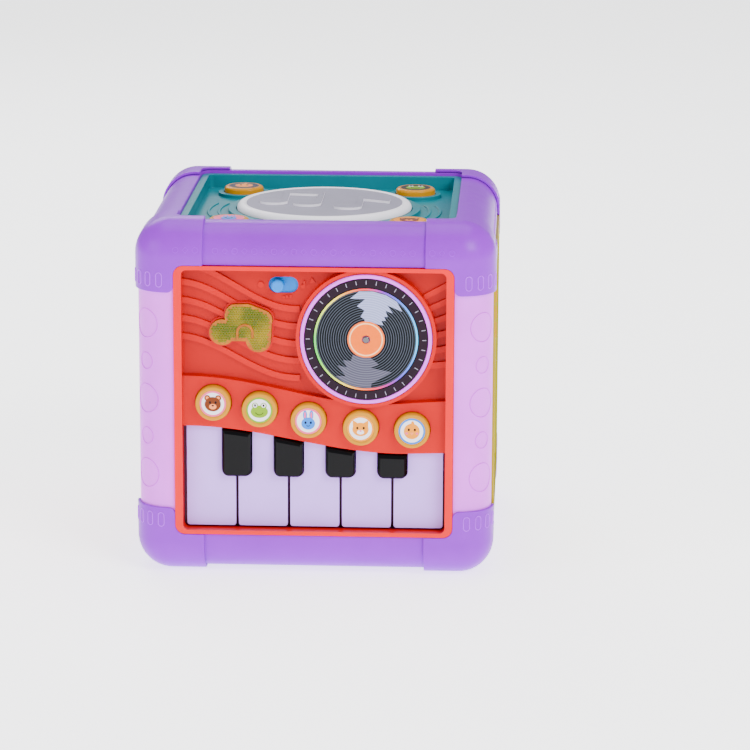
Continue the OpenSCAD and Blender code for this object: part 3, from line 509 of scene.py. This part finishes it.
def rounded_box(half_w, half_h, radius):
    """A square box round the cube's middle, with all its edges and corners rounded."""
    bm = bmesh.new()
    bmesh.ops.create_cube(bm, size=2)
    bmesh.ops.scale(bm, vec=(half_w, half_w, half_h), verts=bm.verts)
    edges = bm.edges[:]
    bmesh.ops.bevel(
        bm, geom=edges, offset=radius, segments=BOX_STEPS, profile=0.5, affect="EDGES"
    )
    bmesh.ops.translate(bm, vec=(0, 0, MID_Z), verts=bm.verts)
    return to_mesh(bm, "rounded_box")


def arc(cx, cy, r, a0, a1, n):
    """Points along an arc, angles in degrees."""
    turns = [math.radians(a0 + (a1 - a0) * k / n) for k in range(n + 1)]
    return [(cx + r * math.cos(a), cy + r * math.sin(a)) for a in turns]


def rounded_rect(hx, hy, r, n=8):
    """Outline of a rounded rectangle from its half sizes."""
    dx, dy = hx - r, hy - r
    corners = ((dx, dy, 0), (-dx, dy, 90), (-dx, -dy, 180), (dx, -dy, 270))
    return [p for cx, cy, a in corners for p in arc(cx, cy, r, a, a + 90, n)]


def add_prism(bm, outline, low, high, turn=None, material=0):
    """An upright prism on an outline, then turned by a matrix."""
    rings = [[bm.verts.new((x, y, z)) for x, y in outline] for z in (low, high)]
    faces = [bm.faces.new(rings[0][::-1]), bm.faces.new(rings[1])]
    for k in range(len(outline)):
        j = (k + 1) % len(outline)
        faces.append(bm.faces.new((rings[0][k], rings[0][j], rings[1][j], rings[1][k])))
    for face in faces:
        face.material_index = material
    if turn is not None:
        bmesh.ops.transform(bm, matrix=turn, verts=rings[0] + rings[1])


def prism(outline, low, high, turn=None):
    """One prism as a mesh of its own."""
    bm = bmesh.new()
    add_prism(bm, outline, low, high, turn)
    return to_mesh(bm, "prism")


# an outline in (x, z) whose prism runs along -Y, so its heights are depths of the piano face
FRONT = Matrix(((1, 0, 0, 0), (0, 0, -1, 0), (0, 1, 0, 0), (0, 0, 0, 1)))
# the same for the sorter face, with outlines in (y, z) and depths along +X
RIGHT = Matrix(((0, 0, 1, 0), (1, 0, 0, 0), (0, 1, 0, 0), (0, 0, 0, 1)))


def carve(base, cuts):
    """A mesh cut by others in turn, each given with its boolean operation."""
    work = bpy.data.objects.new("carve", base)
    bpy.context.collection.objects.link(work)
    tools = []
    for kind, mesh in cuts:
        tool = bpy.data.objects.new("tool", mesh)
        bpy.context.collection.objects.link(tool)
        tools.append(tool)
        cut = work.modifiers.new("cut", "BOOLEAN")
        cut.operation = kind
        cut.object = tool
        cut.solver = "EXACT"
    bpy.context.view_layer.update()
    deps = bpy.context.evaluated_depsgraph_get()
    made = bpy.data.meshes.new_from_object(work.evaluated_get(deps))
    for obj in [work, *tools]:
        bpy.data.objects.remove(obj)
    return made


def flipped(mesh, name, sx=1, sy=1, sz=1):
    """A copy of a mesh mirrored about the cube's middle."""
    bm = bmesh.new()
    bm.from_mesh(mesh)
    raised = Matrix.Translation((0, 0, MID_Z))
    move = raised @ Matrix.Diagonal((sx, sy, sz, 1)) @ raised.inverted()
    bmesh.ops.transform(bm, matrix=move, verts=bm.verts)
    if sx * sy * sz < 0:
        bmesh.ops.reverse_faces(bm, faces=bm.faces[:])
    made = bpy.data.meshes.new(name)
    bm.to_mesh(made)
    bm.free()
    return made


def add_lathe(bm, profile, segments, matrix=None):
    """A turned solid from (radius, height) points; a radius of 0 closes on the axis."""
    rings = []
    for radius, height in profile:
        if radius == 0:
            rings.append([bm.verts.new((0, 0, height))])
            continue
        turns = [math.tau * k / segments for k in range(segments)]
        spots = [(radius * math.cos(a), radius * math.sin(a), height) for a in turns]
        rings.append([bm.verts.new(spot) for spot in spots])
    for low, high in zip(rings, rings[1:]):
        for k in range(segments):
            j = (k + 1) % segments
            under = [low[k % len(low)], low[j % len(low)]]
            corners = [*under, high[j % len(high)], high[k % len(high)]]
            bm.faces.new(list(dict.fromkeys(corners)))
    if matrix is not None:
        bmesh.ops.transform(bm, matrix=matrix, verts=[v for ring in rings for v in ring])


# section of the raised outlines, as (distance out from the outline, rise)
RIDGE = ((-0.5, -0.3), (-0.45, 0.12), (-0.32, 0.28), (-0.15, 0.28), (-0.02, 0.12), (0.03, -0.3))


def add_wrapped(bm, half_len, size, radius, angle, height, n=40):
    """A raised outline wrapped on a corner's upright cylinder: a circle of that size, or a
    capsule with half_len of straight side above and below its middle."""
    rings = []
    for wider, rise in RIDGE:
        reach = size + wider
        ring = []
        for k in range(n):
            a = math.tau * k / n
            along = reach * math.cos(a)
            lift = reach * math.sin(a) + (half_len if math.sin(a) >= 0 else -half_len)
            turn = math.radians(angle) + along / radius
            out = radius + rise
            spot = (BALL_C + out * math.cos(turn), BALL_C + out * math.sin(turn), height + lift)
            ring.append(bm.verts.new(spot))
        rings.append(ring)
    for low, high in zip(rings, rings[1:] + rings[:1]):
        for k in range(n):
            j = (k + 1) % n
            bm.faces.new((low[k], low[j], high[j], high[k]))


# ---- cube body: frames, corner posts and corner caps ----


def face_cuts():
    """The openings through the cube, one along each axis."""
    side = [(x, z + MID_Z) for x, z in rounded_rect(OPEN_W, OPEN_H, OPEN_R)]
    return [
        ("DIFFERENCE", prism(side, -PAST, PAST, FRONT)),
        ("DIFFERENCE", prism(side, -PAST, PAST, RIGHT)),
        ("DIFFERENCE", prism(rounded_rect(OPEN_W, OPEN_W, OPEN_R), -10, OVER)),
    ]


def frame_mesh():
    """The upper frame: the top slice of a hollow rounded box, opened on its faces."""
    square = [(-PAST, -PAST), (PAST, -PAST), (PAST, PAST), (-PAST, PAST)]
    keep = prism(square, MID_Z + SPLIT, OVER)
    inner = rounded_box(FRAME_HALF - WALL, FRAME_HALF - WALL, EDGE_R - WALL)
    base = rounded_box(FRAME_HALF, FRAME_HALF, EDGE_R)
    return carve(base, [("INTERSECT", keep), ("DIFFERENCE", inner), *face_cuts()])


def cap_mesh():
    """One cap: a rounded box's corner, hollowed, with the three faces' openings cut from it."""
    start = CAP_HALF - CAP_LEG
    foot = 2 * MID_Z - CAP_LEG
    corner = prism([(start, start), (PAST, start), (PAST, PAST), (start, PAST)], foot, OVER)
    inner = rounded_box(CAP_SIDE - CAP_SKIN, CAP_HALF - CAP_SKIN, CAP_R - CAP_SKIN)
    base = rounded_box(CAP_SIDE, CAP_HALF, CAP_R)
    # the upright leg's lower corners are rounded where they meet the panels
    inset = OPEN_W + LEG_R
    nick = [(OPEN_W - 1, foot - 1), (inset, foot - 1)]
    nick += [*arc(inset, foot + LEG_R, LEG_R, 270, 180, 8), (OPEN_W - 1, foot + LEG_R)]
    nicks = [
        ("DIFFERENCE", prism(nick, -PAST, -70, FRONT)),
        ("DIFFERENCE", prism(nick, 70, PAST, RIGHT)),
    ]
    return carve(base, [("INTERSECT", corner), ("DIFFERENCE", inner), *face_cuts(), *nicks])


def cap_ovals():
    """Four raised ovals round each cap's upright leg."""
    straight, size = 2.2, 1.95
    bm = bmesh.new()
    for angle in (14, 34.7, 55.3, 76):
        add_wrapped(bm, straight, size, CAP_R, angle, MID_Z + 68)
    return to_mesh(bm, "cap_ovals")


def post_mesh():
    """A corner post, curved in section."""
    back = FRAME_HALF - WALL
    half = SPLIT - 0.05
    outline = [(FRAME_HALF, OPEN_W), *arc(BALL_C, BALL_C, EDGE_R, 0, 90, 28)]
    outline += [(OPEN_W, FRAME_HALF), (OPEN_W, back)]
    outline += [*arc(BALL_C, BALL_C, EDGE_R - WALL, 90, 0, 28), (back, OPEN_W)]
    return prism(outline, MID_Z - half, MID_Z + half)


def post_dots():
    """Raised rings of two sizes down a post's nose."""
    big, small = 8.35, 4.9
    bm = bmesh.new()
    for k in range(-2, 3):
        size = big if k % 2 == 0 else small
        add_wrapped(bm, 0, size, EDGE_R, 45, MID_Z + k * DOT_STEP, n=72)
    return to_mesh(bm, "post_dots")


def make_body():
    frame_top = frame_mesh()
    cap = cap_mesh()
    ovals = cap_ovals()
    post = post_mesh()
    dots = post_dots()
    for sz, level in ((1, "top"), (-1, "base")):
        node = "top_frame" if sz > 0 else "bottom_frame"
        bars = flipped(frame_top, "bars", 1, 1, sz)
        place("bar_set_" + level, bars, "purple", stands_for=[node], soft=0.5)
    for sx, across in ((-1, "left"), (1, "right")):
        for sy, deep in ((-1, "front"), (1, "back")):
            where = deep + "_" + across
            column = flipped(post, "post", sx, sy)
            rings = flipped(dots, "dots", sx, sy)
            slot, node = "lilac_plastic", "post_" + where
            place("pillar_" + where, column, "lilac", slot=slot, stands_for=[node], soft=0.3)
            # the raised rings in a darker lilac, painted shade
            place("pillar_dots_" + where, rings, "lilac_dot_shade", slot=slot)
            for sz, level in ((-1, "base"), (1, "top")):
                label = level + "_" + where
                shell = flipped(cap, "cap", sx, sy, sz)
                node = "cap_" + label
                place("corner_" + label, shell, "purple", stands_for=[node], soft=0.45)
                marks = flipped(ovals, "ovals", sx, sy, sz)
                # the raised ovals in a lighter purple, a painted highlight
                place("corner_ovals_" + label, marks, "purple_oval_highlight")


def make_motifs():
    """A faint embossed row of rings and diamonds along the top bars and their caps, in a lighter
    purple as a painted highlight.
    """
    pitch = 5.4
    lean = math.radians(13)
    seam = CAP_HALF - CAP_LEG
    # a mark's section, as (distance from its middle, height above the edge's surface)
    profile = [(1.3, -0.2), (1.4, 0.05), (1.55, 0.08), (1.7, 0.05), (1.8, -0.2), (1.3, -0.2)]
    bm = bmesh.new()
    for side in range(4):
        spin = Matrix.Rotation(side * math.pi / 2, 4, "Z")
        for k in range(-14, 15):
            x = k * pitch
            if abs(abs(x) - seam) < 2.4:
                continue
            on_bar = abs(x) < seam
            radius = EDGE_R if on_bar else CAP_R
            high = FRAME_HALF if on_bar else CAP_HALF
            spot = Matrix.Translation((x, -BALL_C, MID_Z + high - radius))
            out = Matrix.Rotation(math.pi / 2 - lean, 4, "X") @ Matrix.Translation((0, 0, radius))
            around = 20 if k % 2 == 0 else 4
            add_lathe(bm, profile, around, spin @ spot @ out)
    # the marks take the lighter purple, a painted highlight
    place("bar_motifs", to_mesh(bm, "motifs"), "purple_motif_highlight")


# ---- turntable ----


def polar(points):
    """Outline points from clockwise angles, up being 0, and radii, round the turntable."""
    turns = [(math.radians(a), r) for a, r in points]
    return [(TT_X + r * math.sin(a), TT_Z + r * math.cos(a)) for a, r in turns]


# the printed gleams, as (clockwise angle from the top, radius)
GLEAM_TOP = [
    (-8, 27.2), (-21, 24.5), (-1, 22.7), (-15, 19.4), (-3, 16.4), (-13, 13.2), (-4, 11.4),
    (-4, 10.3), (12, 10.3), (26, 10.3), (38, 10.9), (49, 12.5), (38, 13.6), (45, 15.2),
    (37, 16.4), (43, 17.4), (33, 19.5), (44, 20.9), (31, 22.6), (51, 25.4), (38, 27.2),
    (24, 27.2), (8, 27.2),
]
GLEAM_LOW = [
    (167, 10.3), (153, 15.7), (171, 16.1), (142, 23.1), (173, 25.0), (174, 27.2), (190, 27.2),
    (205, 27.2), (219, 26.5), (208, 23.6), (227, 21.4), (213, 19.0), (227, 17.2), (214, 14.6),
    (220, 11.3), (205, 10.3), (186, 10.3),
]


def record_profile(face, back, outer):
    """The record's section: a flat label, wavy grooves, a low rainbow ring and a flat rim."""
    start = LABEL_R + 0.3
    low = face - 0.1
    profile = [(HOLE_R, back), (HOLE_R, face), (LABEL_R - 0.15, face), (LABEL_R, low)]
    for k in range(int(4 * (GROOVES_END - start) / GROOVE) + 1):
        r = start + k * GROOVE / 4
        profile.append((r, face - 0.07 - 0.06 * math.cos(math.tau * r / GROOVE)))
    profile += [(RAINBOW_IN, low), (RAINBOW_IN + 0.05, face - 0.02)]
    profile += [(RAINBOW_OUT - 0.1, face - 0.02), (RAINBOW_OUT, low), (RAINBOW_OUT + 0.4, face)]
    return profile + [(outer - 0.3, face), (outer, face - 0.3), (outer, back), (HOLE_R, back)]


def make_record():
    face = front_of("record_disc") - 0.4
    back = 97.35
    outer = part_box("record_disc")[1][0] / MM - TT_X
    spin = Matrix.Translation((TT_X, 0, TT_Z)) @ FRONT
    body, slot = "turntable", "black_plastic"
    bm = bmesh.new()
    add_lathe(bm, record_profile(face, back, outer), 160, spin)
    disc = to_mesh(bm, "record")
    place("record_face", disc, "record", body, slot, stands_for=["record_disc"])
    gleams = (("top", GLEAM_TOP, "gleam_light"), ("low", GLEAM_LOW, "gleam_grey"))
    for where, outline, material in gleams:
        mesh = prism(polar(outline), face - 0.08, face + 0.03, FRONT)
        place("record_gleam_" + where, mesh, material, body, slot)
    ticks = 36
    near, far = 30.9, 33.1
    tick = [(near, -0.22), (far, -0.2), (far, 0.2), (near, 0.22)]
    bm = bmesh.new()
    for k in range(ticks):
        turn = Matrix.Rotation(math.radians(360 / ticks * k), 4, "Z")
        add_prism(bm, tick, face - 0.1, face + 0.3, spin @ turn)
    place("record_ticks", to_mesh(bm, "ticks"), "tick", body, slot, soft=0.12)


# ---- printed stickers ----


def circle(cx, cy, r, ry=None, n=40):
    """A circle, or an ellipse where ry is given."""
    turns = [math.tau * k / n for k in range(n)]
    return [(cx + r * math.cos(a), cy + (ry or r) * math.sin(a)) for a in turns]


def smile(cx, cy, r, width=0.35):
    """A thin crescent mouth."""
    return arc(cx, cy, r, 205, 335, 10) + arc(cx, cy, r - width, 335, 205, 10)


def bear():
    ears = [("print_brown", circle(x, 3.4, 1.7)) for x in (-3.1, 3.1)]
    inner = [("print_peach", circle(x, 3.4, 0.9)) for x in (-3.1, 3.1)]
    head = [("print_brown", circle(0, -0.2, 4.6, 4.2)), ("print_peach", circle(0, -1.6, 2.1, 1.6))]
    return ears + inner + head + eyes(1.6, 0.8) + [("print_ink", circle(0, -1.0, 0.7, 0.5))]


def cat():
    ears = [("print_gold", [(s * 1.2, 3.0), (s * 4.4, 5.0), (s * 4.3, 0.8)]) for s in (-1, 1)]
    head = [("print_gold", circle(0, -0.4, 4.6, 3.9)), ("print_white", circle(0, -2.0, 2.0, 1.3))]
    return ears + head + eyes(1.8, 0.4) + [("print_pink", circle(0, -1.3, 0.6, 0.45))]


def rabbit():
    ears = [("print_sky", circle(x, 3.6, 1.15, 2.7)) for x in (-1.8, 1.8)]
    inner = [("print_pink", circle(x, 3.5, 0.5, 1.8)) for x in (-1.8, 1.8)]
    head = [("print_sky", circle(0, -1.3, 3.9, 3.5))]
    return ears + inner + head + eyes(1.5, -0.8) + [("print_ink", smile(0, -1.8, 1.2))]


def frog():
    lids = [("print_lime", circle(x, 2.6, 1.8)) for x in (-2.4, 2.4)]
    whites = [("print_white", circle(x, 2.8, 1.2)) for x in (-2.4, 2.4)]
    head = [("print_lime", circle(0, -0.8, 4.9, 3.6))]
    return lids + head + whites + eyes(2.4, 2.8) + [("print_ink", smile(0, -0.2, 2.6))]


def chick():
    head = [("print_gold", circle(0, 0, 4.5)), ("print_gold", circle(0.4, 4.4, 0.9, 1.5))]
    beak = [("print_peach", [(-1.2, -0.6), (1.2, -0.6), (0, -2.4)])]
    cheeks = [("print_pink", circle(x, -1.2, 0.8, 0.6)) for x in (-2.9, 2.9)]
    return head + cheeks + beak + eyes(1.7, 0.9)


def eyes(x, y):
    """Two dark eyes."""
    return [("print_ink", circle(s * x, y, 0.6, 0.75, 20)) for s in (-1, 1)]


def sticker(name, layers, turn, level, body, lift=0.035):
    """A round label: each layer is (material, outline), drawn a hair above the one before."""
    used = list(dict.fromkeys(material for material, _ in layers))
    bm = bmesh.new()
    for k, (material, outline) in enumerate(layers):
        high = level + 0.04 + lift * k
        add_prism(bm, outline, level - 0.05, high, turn, used.index(material))
    place(name, to_mesh(bm, name), " ".join(used), body, "white_plastic")


def scaled(layers, factor):
    """A face's layers at another size."""
    return [(material, [(x * factor, y * factor) for x, y in line]) for material, line in layers]


def song_rim(k, turn, level):
    """The glossy rounded rim that a song button's sticker sits inside."""
    middle, half_w, half_h = 8.5, 1.1, 0.48
    inner, outer, foot = 7.4, 9.6, level - 0.6
    dome = arc(0, 0, 1, 0, 180, 12)
    profile = [(outer, foot)]
    profile += [(middle + half_w * x, level - 0.05 + half_h * y) for x, y in dome]
    profile += [(inner, foot), (outer, foot)]
    bm = bmesh.new()
    add_lathe(bm, profile, 72, turn)
    mesh = to_mesh(bm, "rim")
    place("song_rim_%d" % k, mesh, "yellow", "song_%d" % k, "yellow_plastic")


def make_stickers():
    songs = (
        ("print_pink", bear()), ("print_lime", frog()), ("print_pink", rabbit()),
        ("print_gold", cat()), ("print_sky", chick()),
    )
    for k, (ring, face) in enumerate(songs, 1):
        node = "song_button_%d" % k
        x, _, z = centre(node)
        level = front_of(node)
        turn = Matrix.Translation((x, 0, z)) @ FRONT
        back = [(ring, circle(0, 0, 7.3, n=64)), ("print_white", circle(0, 0, 6.3, n=64))]
        layers = back + scaled(face, 0.98)
        sticker("song_sticker_%d" % k, layers, turn, level, "song_%d" % k, 0.02)
        song_rim(k, turn, level)
    taps = (
        ("print_pink", rabbit()), ("print_gold", bear()), ("print_navy", chick()),
        ("print_olive", frog()),
    )
    for k, (ground, face) in enumerate(taps, 1):
        node = "drum_button_%d" % k
        x, y, _ = centre(node)
        layers = [(ground, circle(0, 0, 8.7, n=64))] + scaled(face, 1.15)
        turn = Matrix.Translation((x, y, 0))
        sticker("drum_sticker_%d" % k, layers, turn, top_of(node), "tap_%d" % k)


# ---- note window ----


# the window's outline, a pair of joined notes: discs, and bars between two points, with radii
NOTE_DISCS = (((-50.5, 138.3), 7.2), ((-30.6, 134.3), 7.0))
NOTE_BARS = (
    ((-46, 148), (-45.8, 138), 3.1), ((-43.4, 148.6), (-37, 148.7), 5.5),
    ((-37, 148.7), (-28.4, 145.4), 5.6), ((-28, 145), (-28.3, 136), 4.8),
)


def note_room(x, z):
    """How far a point lies inside the window's outline."""
    best = -9.0
    for (cx, cz), r in NOTE_DISCS:
        best = max(best, r - math.hypot(x - cx, z - cz))
    for (ax, az), (bx, bz), r in NOTE_BARS:
        t = ((x - ax) * (bx - ax) + (z - az) * (bz - az)) / ((bx - ax) ** 2 + (bz - az) ** 2)
        t = min(1.0, max(0.0, t))
        best = max(best, r - math.hypot(x - ax - t * (bx - ax), z - az - t * (bz - az)))
    foot = 133.4
    if -45 < x < -31.5 and foot < z < 147:
        best = max(best, min(z - foot, 2.0))
    return best


def make_prisms():
    """Rows of small six-sided prisms moulded into the window."""
    face = front_of("note_lens")
    pitch = 1.55
    rows, columns = 22, 26
    left, low = -59, 126.5
    edge = 1.5
    point = [(0.88, face - 0.2), (0.86, face), (0, face + 0.5)]
    bm = bmesh.new()
    for row in range(rows):
        for column in range(columns):
            x = left + pitch * (column + 0.5 * (row % 2))
            z = low + pitch * 0.87 * row
            if note_room(x, z) < edge:
                continue
            at = Matrix.Translation((x, 0, z)) @ FRONT @ Matrix.Rotation(math.pi / 6, 4, "Z")
            add_lathe(bm, point, 6, at)
    place("window_prisms", to_mesh(bm, "prisms"), "prisms", slot="amber_window")


def make_arch():
    """A smaller arch that stands inside the window's note."""
    face = front_of("note_lens")
    cx, cz, radius, half = -38.0, 138.4, 4.2, 0.7
    outside, inside = radius + half, radius - half
    arch = [(cx - inside, 134.0), (cx - outside, 134.0), *arc(cx, cz, outside, 180, 0, 24)]
    arch += [(cx + outside, 135.2), (cx + inside, 135.2), *arc(cx, cz, inside, 0, 180, 24)]
    rib = prism(arch, face - 0.3, face + 0.6, FRONT)
    place("window_arch", rib, "window", slot="amber_window", soft=0.25)


# ---- drum ----


def make_drum():
    """The drum pad's shell, its inlay, grey as painted shade, and the raised notes."""
    top = top_of("drum_pad") - NOTE_RISE
    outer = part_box("drum_pad")[1][0] / MM
    body, slot = "drum", "pad_plastic"
    # the section: a dished top, a rounded edge, a thin lip, a flat underside and a skirt
    edge_r, skin, base, foot = 3.6, 1.8, 190.8, 184
    skirt_out, skirt_in = 40, 38
    under = base + 1.4
    edge = arc(outer - edge_r, top - edge_r, edge_r, 90, 0, 10)
    profile = [(0, top - 0.5), (outer - 5.2, top - 0.5)]
    profile += [(outer - 4.9, top - 0.15), (outer - 4.4, top), *edge]
    profile += [(outer, base), (outer - skin, base), (outer - skin, under)]
    profile += [(skirt_out, under), (skirt_out, foot)]
    profile += [(skirt_in, foot), (skirt_in, under), (0, under)]
    bm = bmesh.new()
    add_lathe(bm, profile, 128)
    shell = to_mesh(bm, "drum")
    place("drum_shell", shell, "pad_white", body, slot, stands_for=["drum_pad"])
    rim, floor, face = outer - 5.4, top - 0.7, top - 0.35
    bm = bmesh.new()
    add_lathe(bm, [(0, floor), (rim, floor), (rim, face), (0, face)], 128)
    # the inlay is grey as painted shade
    place("drum_inlay", to_mesh(bm, "inlay"), "pad_grey_shade", body, slot)
    low = top - 0.5
    high = top + NOTE_RISE - 0.05
    beam = [
        (-24.4, -4), (-20.9, -6), (-20.9, 19), (-4.6, 17), (-4.6, -10), (-1.3, -9), (-1.3, 26),
        (-24.4, 28),
    ]
    flag = [(19.2, -17), (22.3, -17), (22.3, 4), (37.5, -3), (37.5, 5.5), (22.3, 12), (19.2, 12)]
    heads = [circle(cx, cy, 8.0, 6.6, 36) for cx, cy in ((-28.7, -5), (-9.3, -10), (14.3, -18))]
    joins = [("UNION", prism(outline, low, high)) for outline in (*heads, flag)]
    notes = carve(prism(beam, low, high), joins)
    place("drum_notes", notes, "note", body, slot, soft=0.85)


# ---- sorter marks ----


def make_marks():
    """Three moulded orange dashes down the front edge of the sorter's rim."""
    across, half_w, corner = -75.9, 0.9, 0.7
    deep, proud = 99.3, 99.8
    bm = bmesh.new()
    for low, high in ((133, 142), (144, 151), (153, 160)):
        middle = (low + high) / 2
        dash = rounded_rect(half_w, high - middle, corner, 4)
        shape = [(across + y, middle + z) for y, z in dash]
        add_prism(bm, shape, deep, proud, RIGHT)
    place("sorter_dashes", to_mesh(bm, "dashes"), "orange", slot="orange_plastic", soft=0.12)


# ---- CAD pieces that stay as they are, with a material and a bevel width each ----


LOOKS = {
    "front_panel": ("red", 0.8),
    "turntable_platter": ("lilac", 0.5),
    "turntable_axle": ("dark_steel", 0.2),
    "note_lens": ("window", 0.9),
    "switch_slider": ("sky", 0.5),
    "key_hinge_rod": ("steel", 0.0),
    "key_membrane": ("dark", 0.1),
    "button_board": ("board", 0.0),
    "main_board": ("board", 0.0),
    "top_panel": ("teal", 0.8),
    "sorter_frame": ("lime", 0.7),
    "sorter_door": ("lime", 0.6),
    "block_butterfly": ("purple", 0.8),
    "block_star": ("yellow", 0.8),
    "block_hexagon": ("orange", 0.4),
    "block_round": ("green", 0.8),
    "left_panel": ("side_red", 0.7),
    "gear_orange": ("orange", 0.6),
    "gear_purple": ("purple", 0.6),
    "back_panel": ("teal", 0.7),
    "speaker": ("dark", 0.3),
    "base_panel": ("purple", 0.5),
    "battery_door": ("purple", 0.4),
    "batteries": ("dark", 0.3),
    "case_screws": ("steel", 0.1),
    "block_bin": ("bin", 0.6),
}
for k in range(1, 6):
    LOOKS["song_button_%d" % k] = ("yellow", 0.5)
    LOOKS["white_key_%d" % k] = ("white", 0.7)
for k in range(1, 5):
    LOOKS["black_key_%d" % k] = ("black", 0.8)
    LOOKS["drum_button_%d" % k] = ("yellow", 1.2)
# the faces of these only stay whole when their triangles aren't merged
UNMERGED = ("block_hexagon", "sorter_door", "white_key")
for name, (material, width) in LOOKS.items():
    dress(name, material, width, merge=not name.startswith(UNMERGED))

make_body()
make_motifs()
make_record()
make_stickers()
make_prisms()
make_arch()
make_drum()
make_marks()


# ---- camera, floor and lights ----


def make_camera():
    """A long lens from a little above, set by the corners of the cube in the photograph."""
    stand = Vector((118.47, -1945.42, 553.95)) * MM
    yaw, pitch, roll = [math.radians(a) for a in (-2.624, 13.323, 0.2146)]
    data = bpy.data.cameras.new("camera")
    data.lens = 166.0
    data.sensor_width = 36.0
    data.clip_start = 0.05
    data.clip_end = 50.0
    cam = bpy.data.objects.new("camera", data)
    bpy.context.collection.objects.link(cam)
    level = math.cos(pitch)
    fwd = Vector((math.sin(yaw) * level, math.cos(yaw) * level, -math.sin(pitch)))
    right = Vector((math.cos(yaw), -math.sin(yaw), 0))
    up = right.cross(fwd)
    x = right * math.cos(roll) + up * math.sin(roll)
    y = up * math.cos(roll) - right * math.sin(roll)
    turn = Matrix((x, y, -fwd)).transposed().to_4x4()
    cam.matrix_world = Matrix.Translation(stand) @ turn
    bpy.context.scene.camera = cam


def make_floor():
    """A white table that glows a little, so it fades into the backdrop."""
    half = 6.0
    corners = [(-half, -half, 0), (half, -half, 0), (half, half, 0), (-half, half, 0)]
    mesh = bpy.data.meshes.new("floor")
    mesh.from_pydata(corners, [], [(0, 1, 2, 3)])
    floor = bpy.data.objects.new("floor", mesh)
    bpy.context.collection.objects.link(floor)
    s = Shader("floor_paint")
    s.colour(s.ramp(s.noise(3.0), [(0.3, srgb(240, 240, 243)), (0.7, srgb(246, 246, 248))]))
    s.bsdf.inputs["Roughness"].default_value = 0.6
    s.bsdf.inputs["Emission Color"].default_value = (1, 1, 1, 1)
    s.bsdf.inputs["Emission Strength"].default_value = 2.2
    mesh.materials.append(s.material)


def area_light(name, spot, size, power):
    """A rectangular light, in metres and watts, that looks at the cube's middle."""
    data = bpy.data.lights.new(name, "AREA")
    data.shape = "RECTANGLE"
    data.size, data.size_y = size
    data.energy = power
    lamp = bpy.data.objects.new(name, data)
    lamp.location = spot
    lamp.rotation_mode = "QUATERNION"
    aim = Vector((0, 0, MID_Z * MM))
    lamp.rotation_quaternion = (aim - Vector(spot)).to_track_quat("-Z", "Y")
    bpy.context.collection.objects.link(lamp)


def make_lights():
    area_light("key_light", (1.1, -1.3, 1.3), (0.9, 0.9), 44)
    area_light("fill_light", (-1.4, -1.1, 0.8), (1.2, 1.0), 16)
    area_light("top_light", (0.0, 0.3, 1.8), (1.4, 1.4), 24)
    area_light("rim_light", (-0.6, 1.5, 1.1), (1.0, 0.8), 12)
    world = bpy.data.worlds.new("studio")
    bpy.context.scene.world = world
    world.use_nodes = True
    back = world.node_tree.nodes["Background"]
    back.inputs["Color"].default_value = (0.93, 0.95, 1.0, 1)
    back.inputs["Strength"].default_value = 0.5


make_camera()
make_floor()
make_lights()
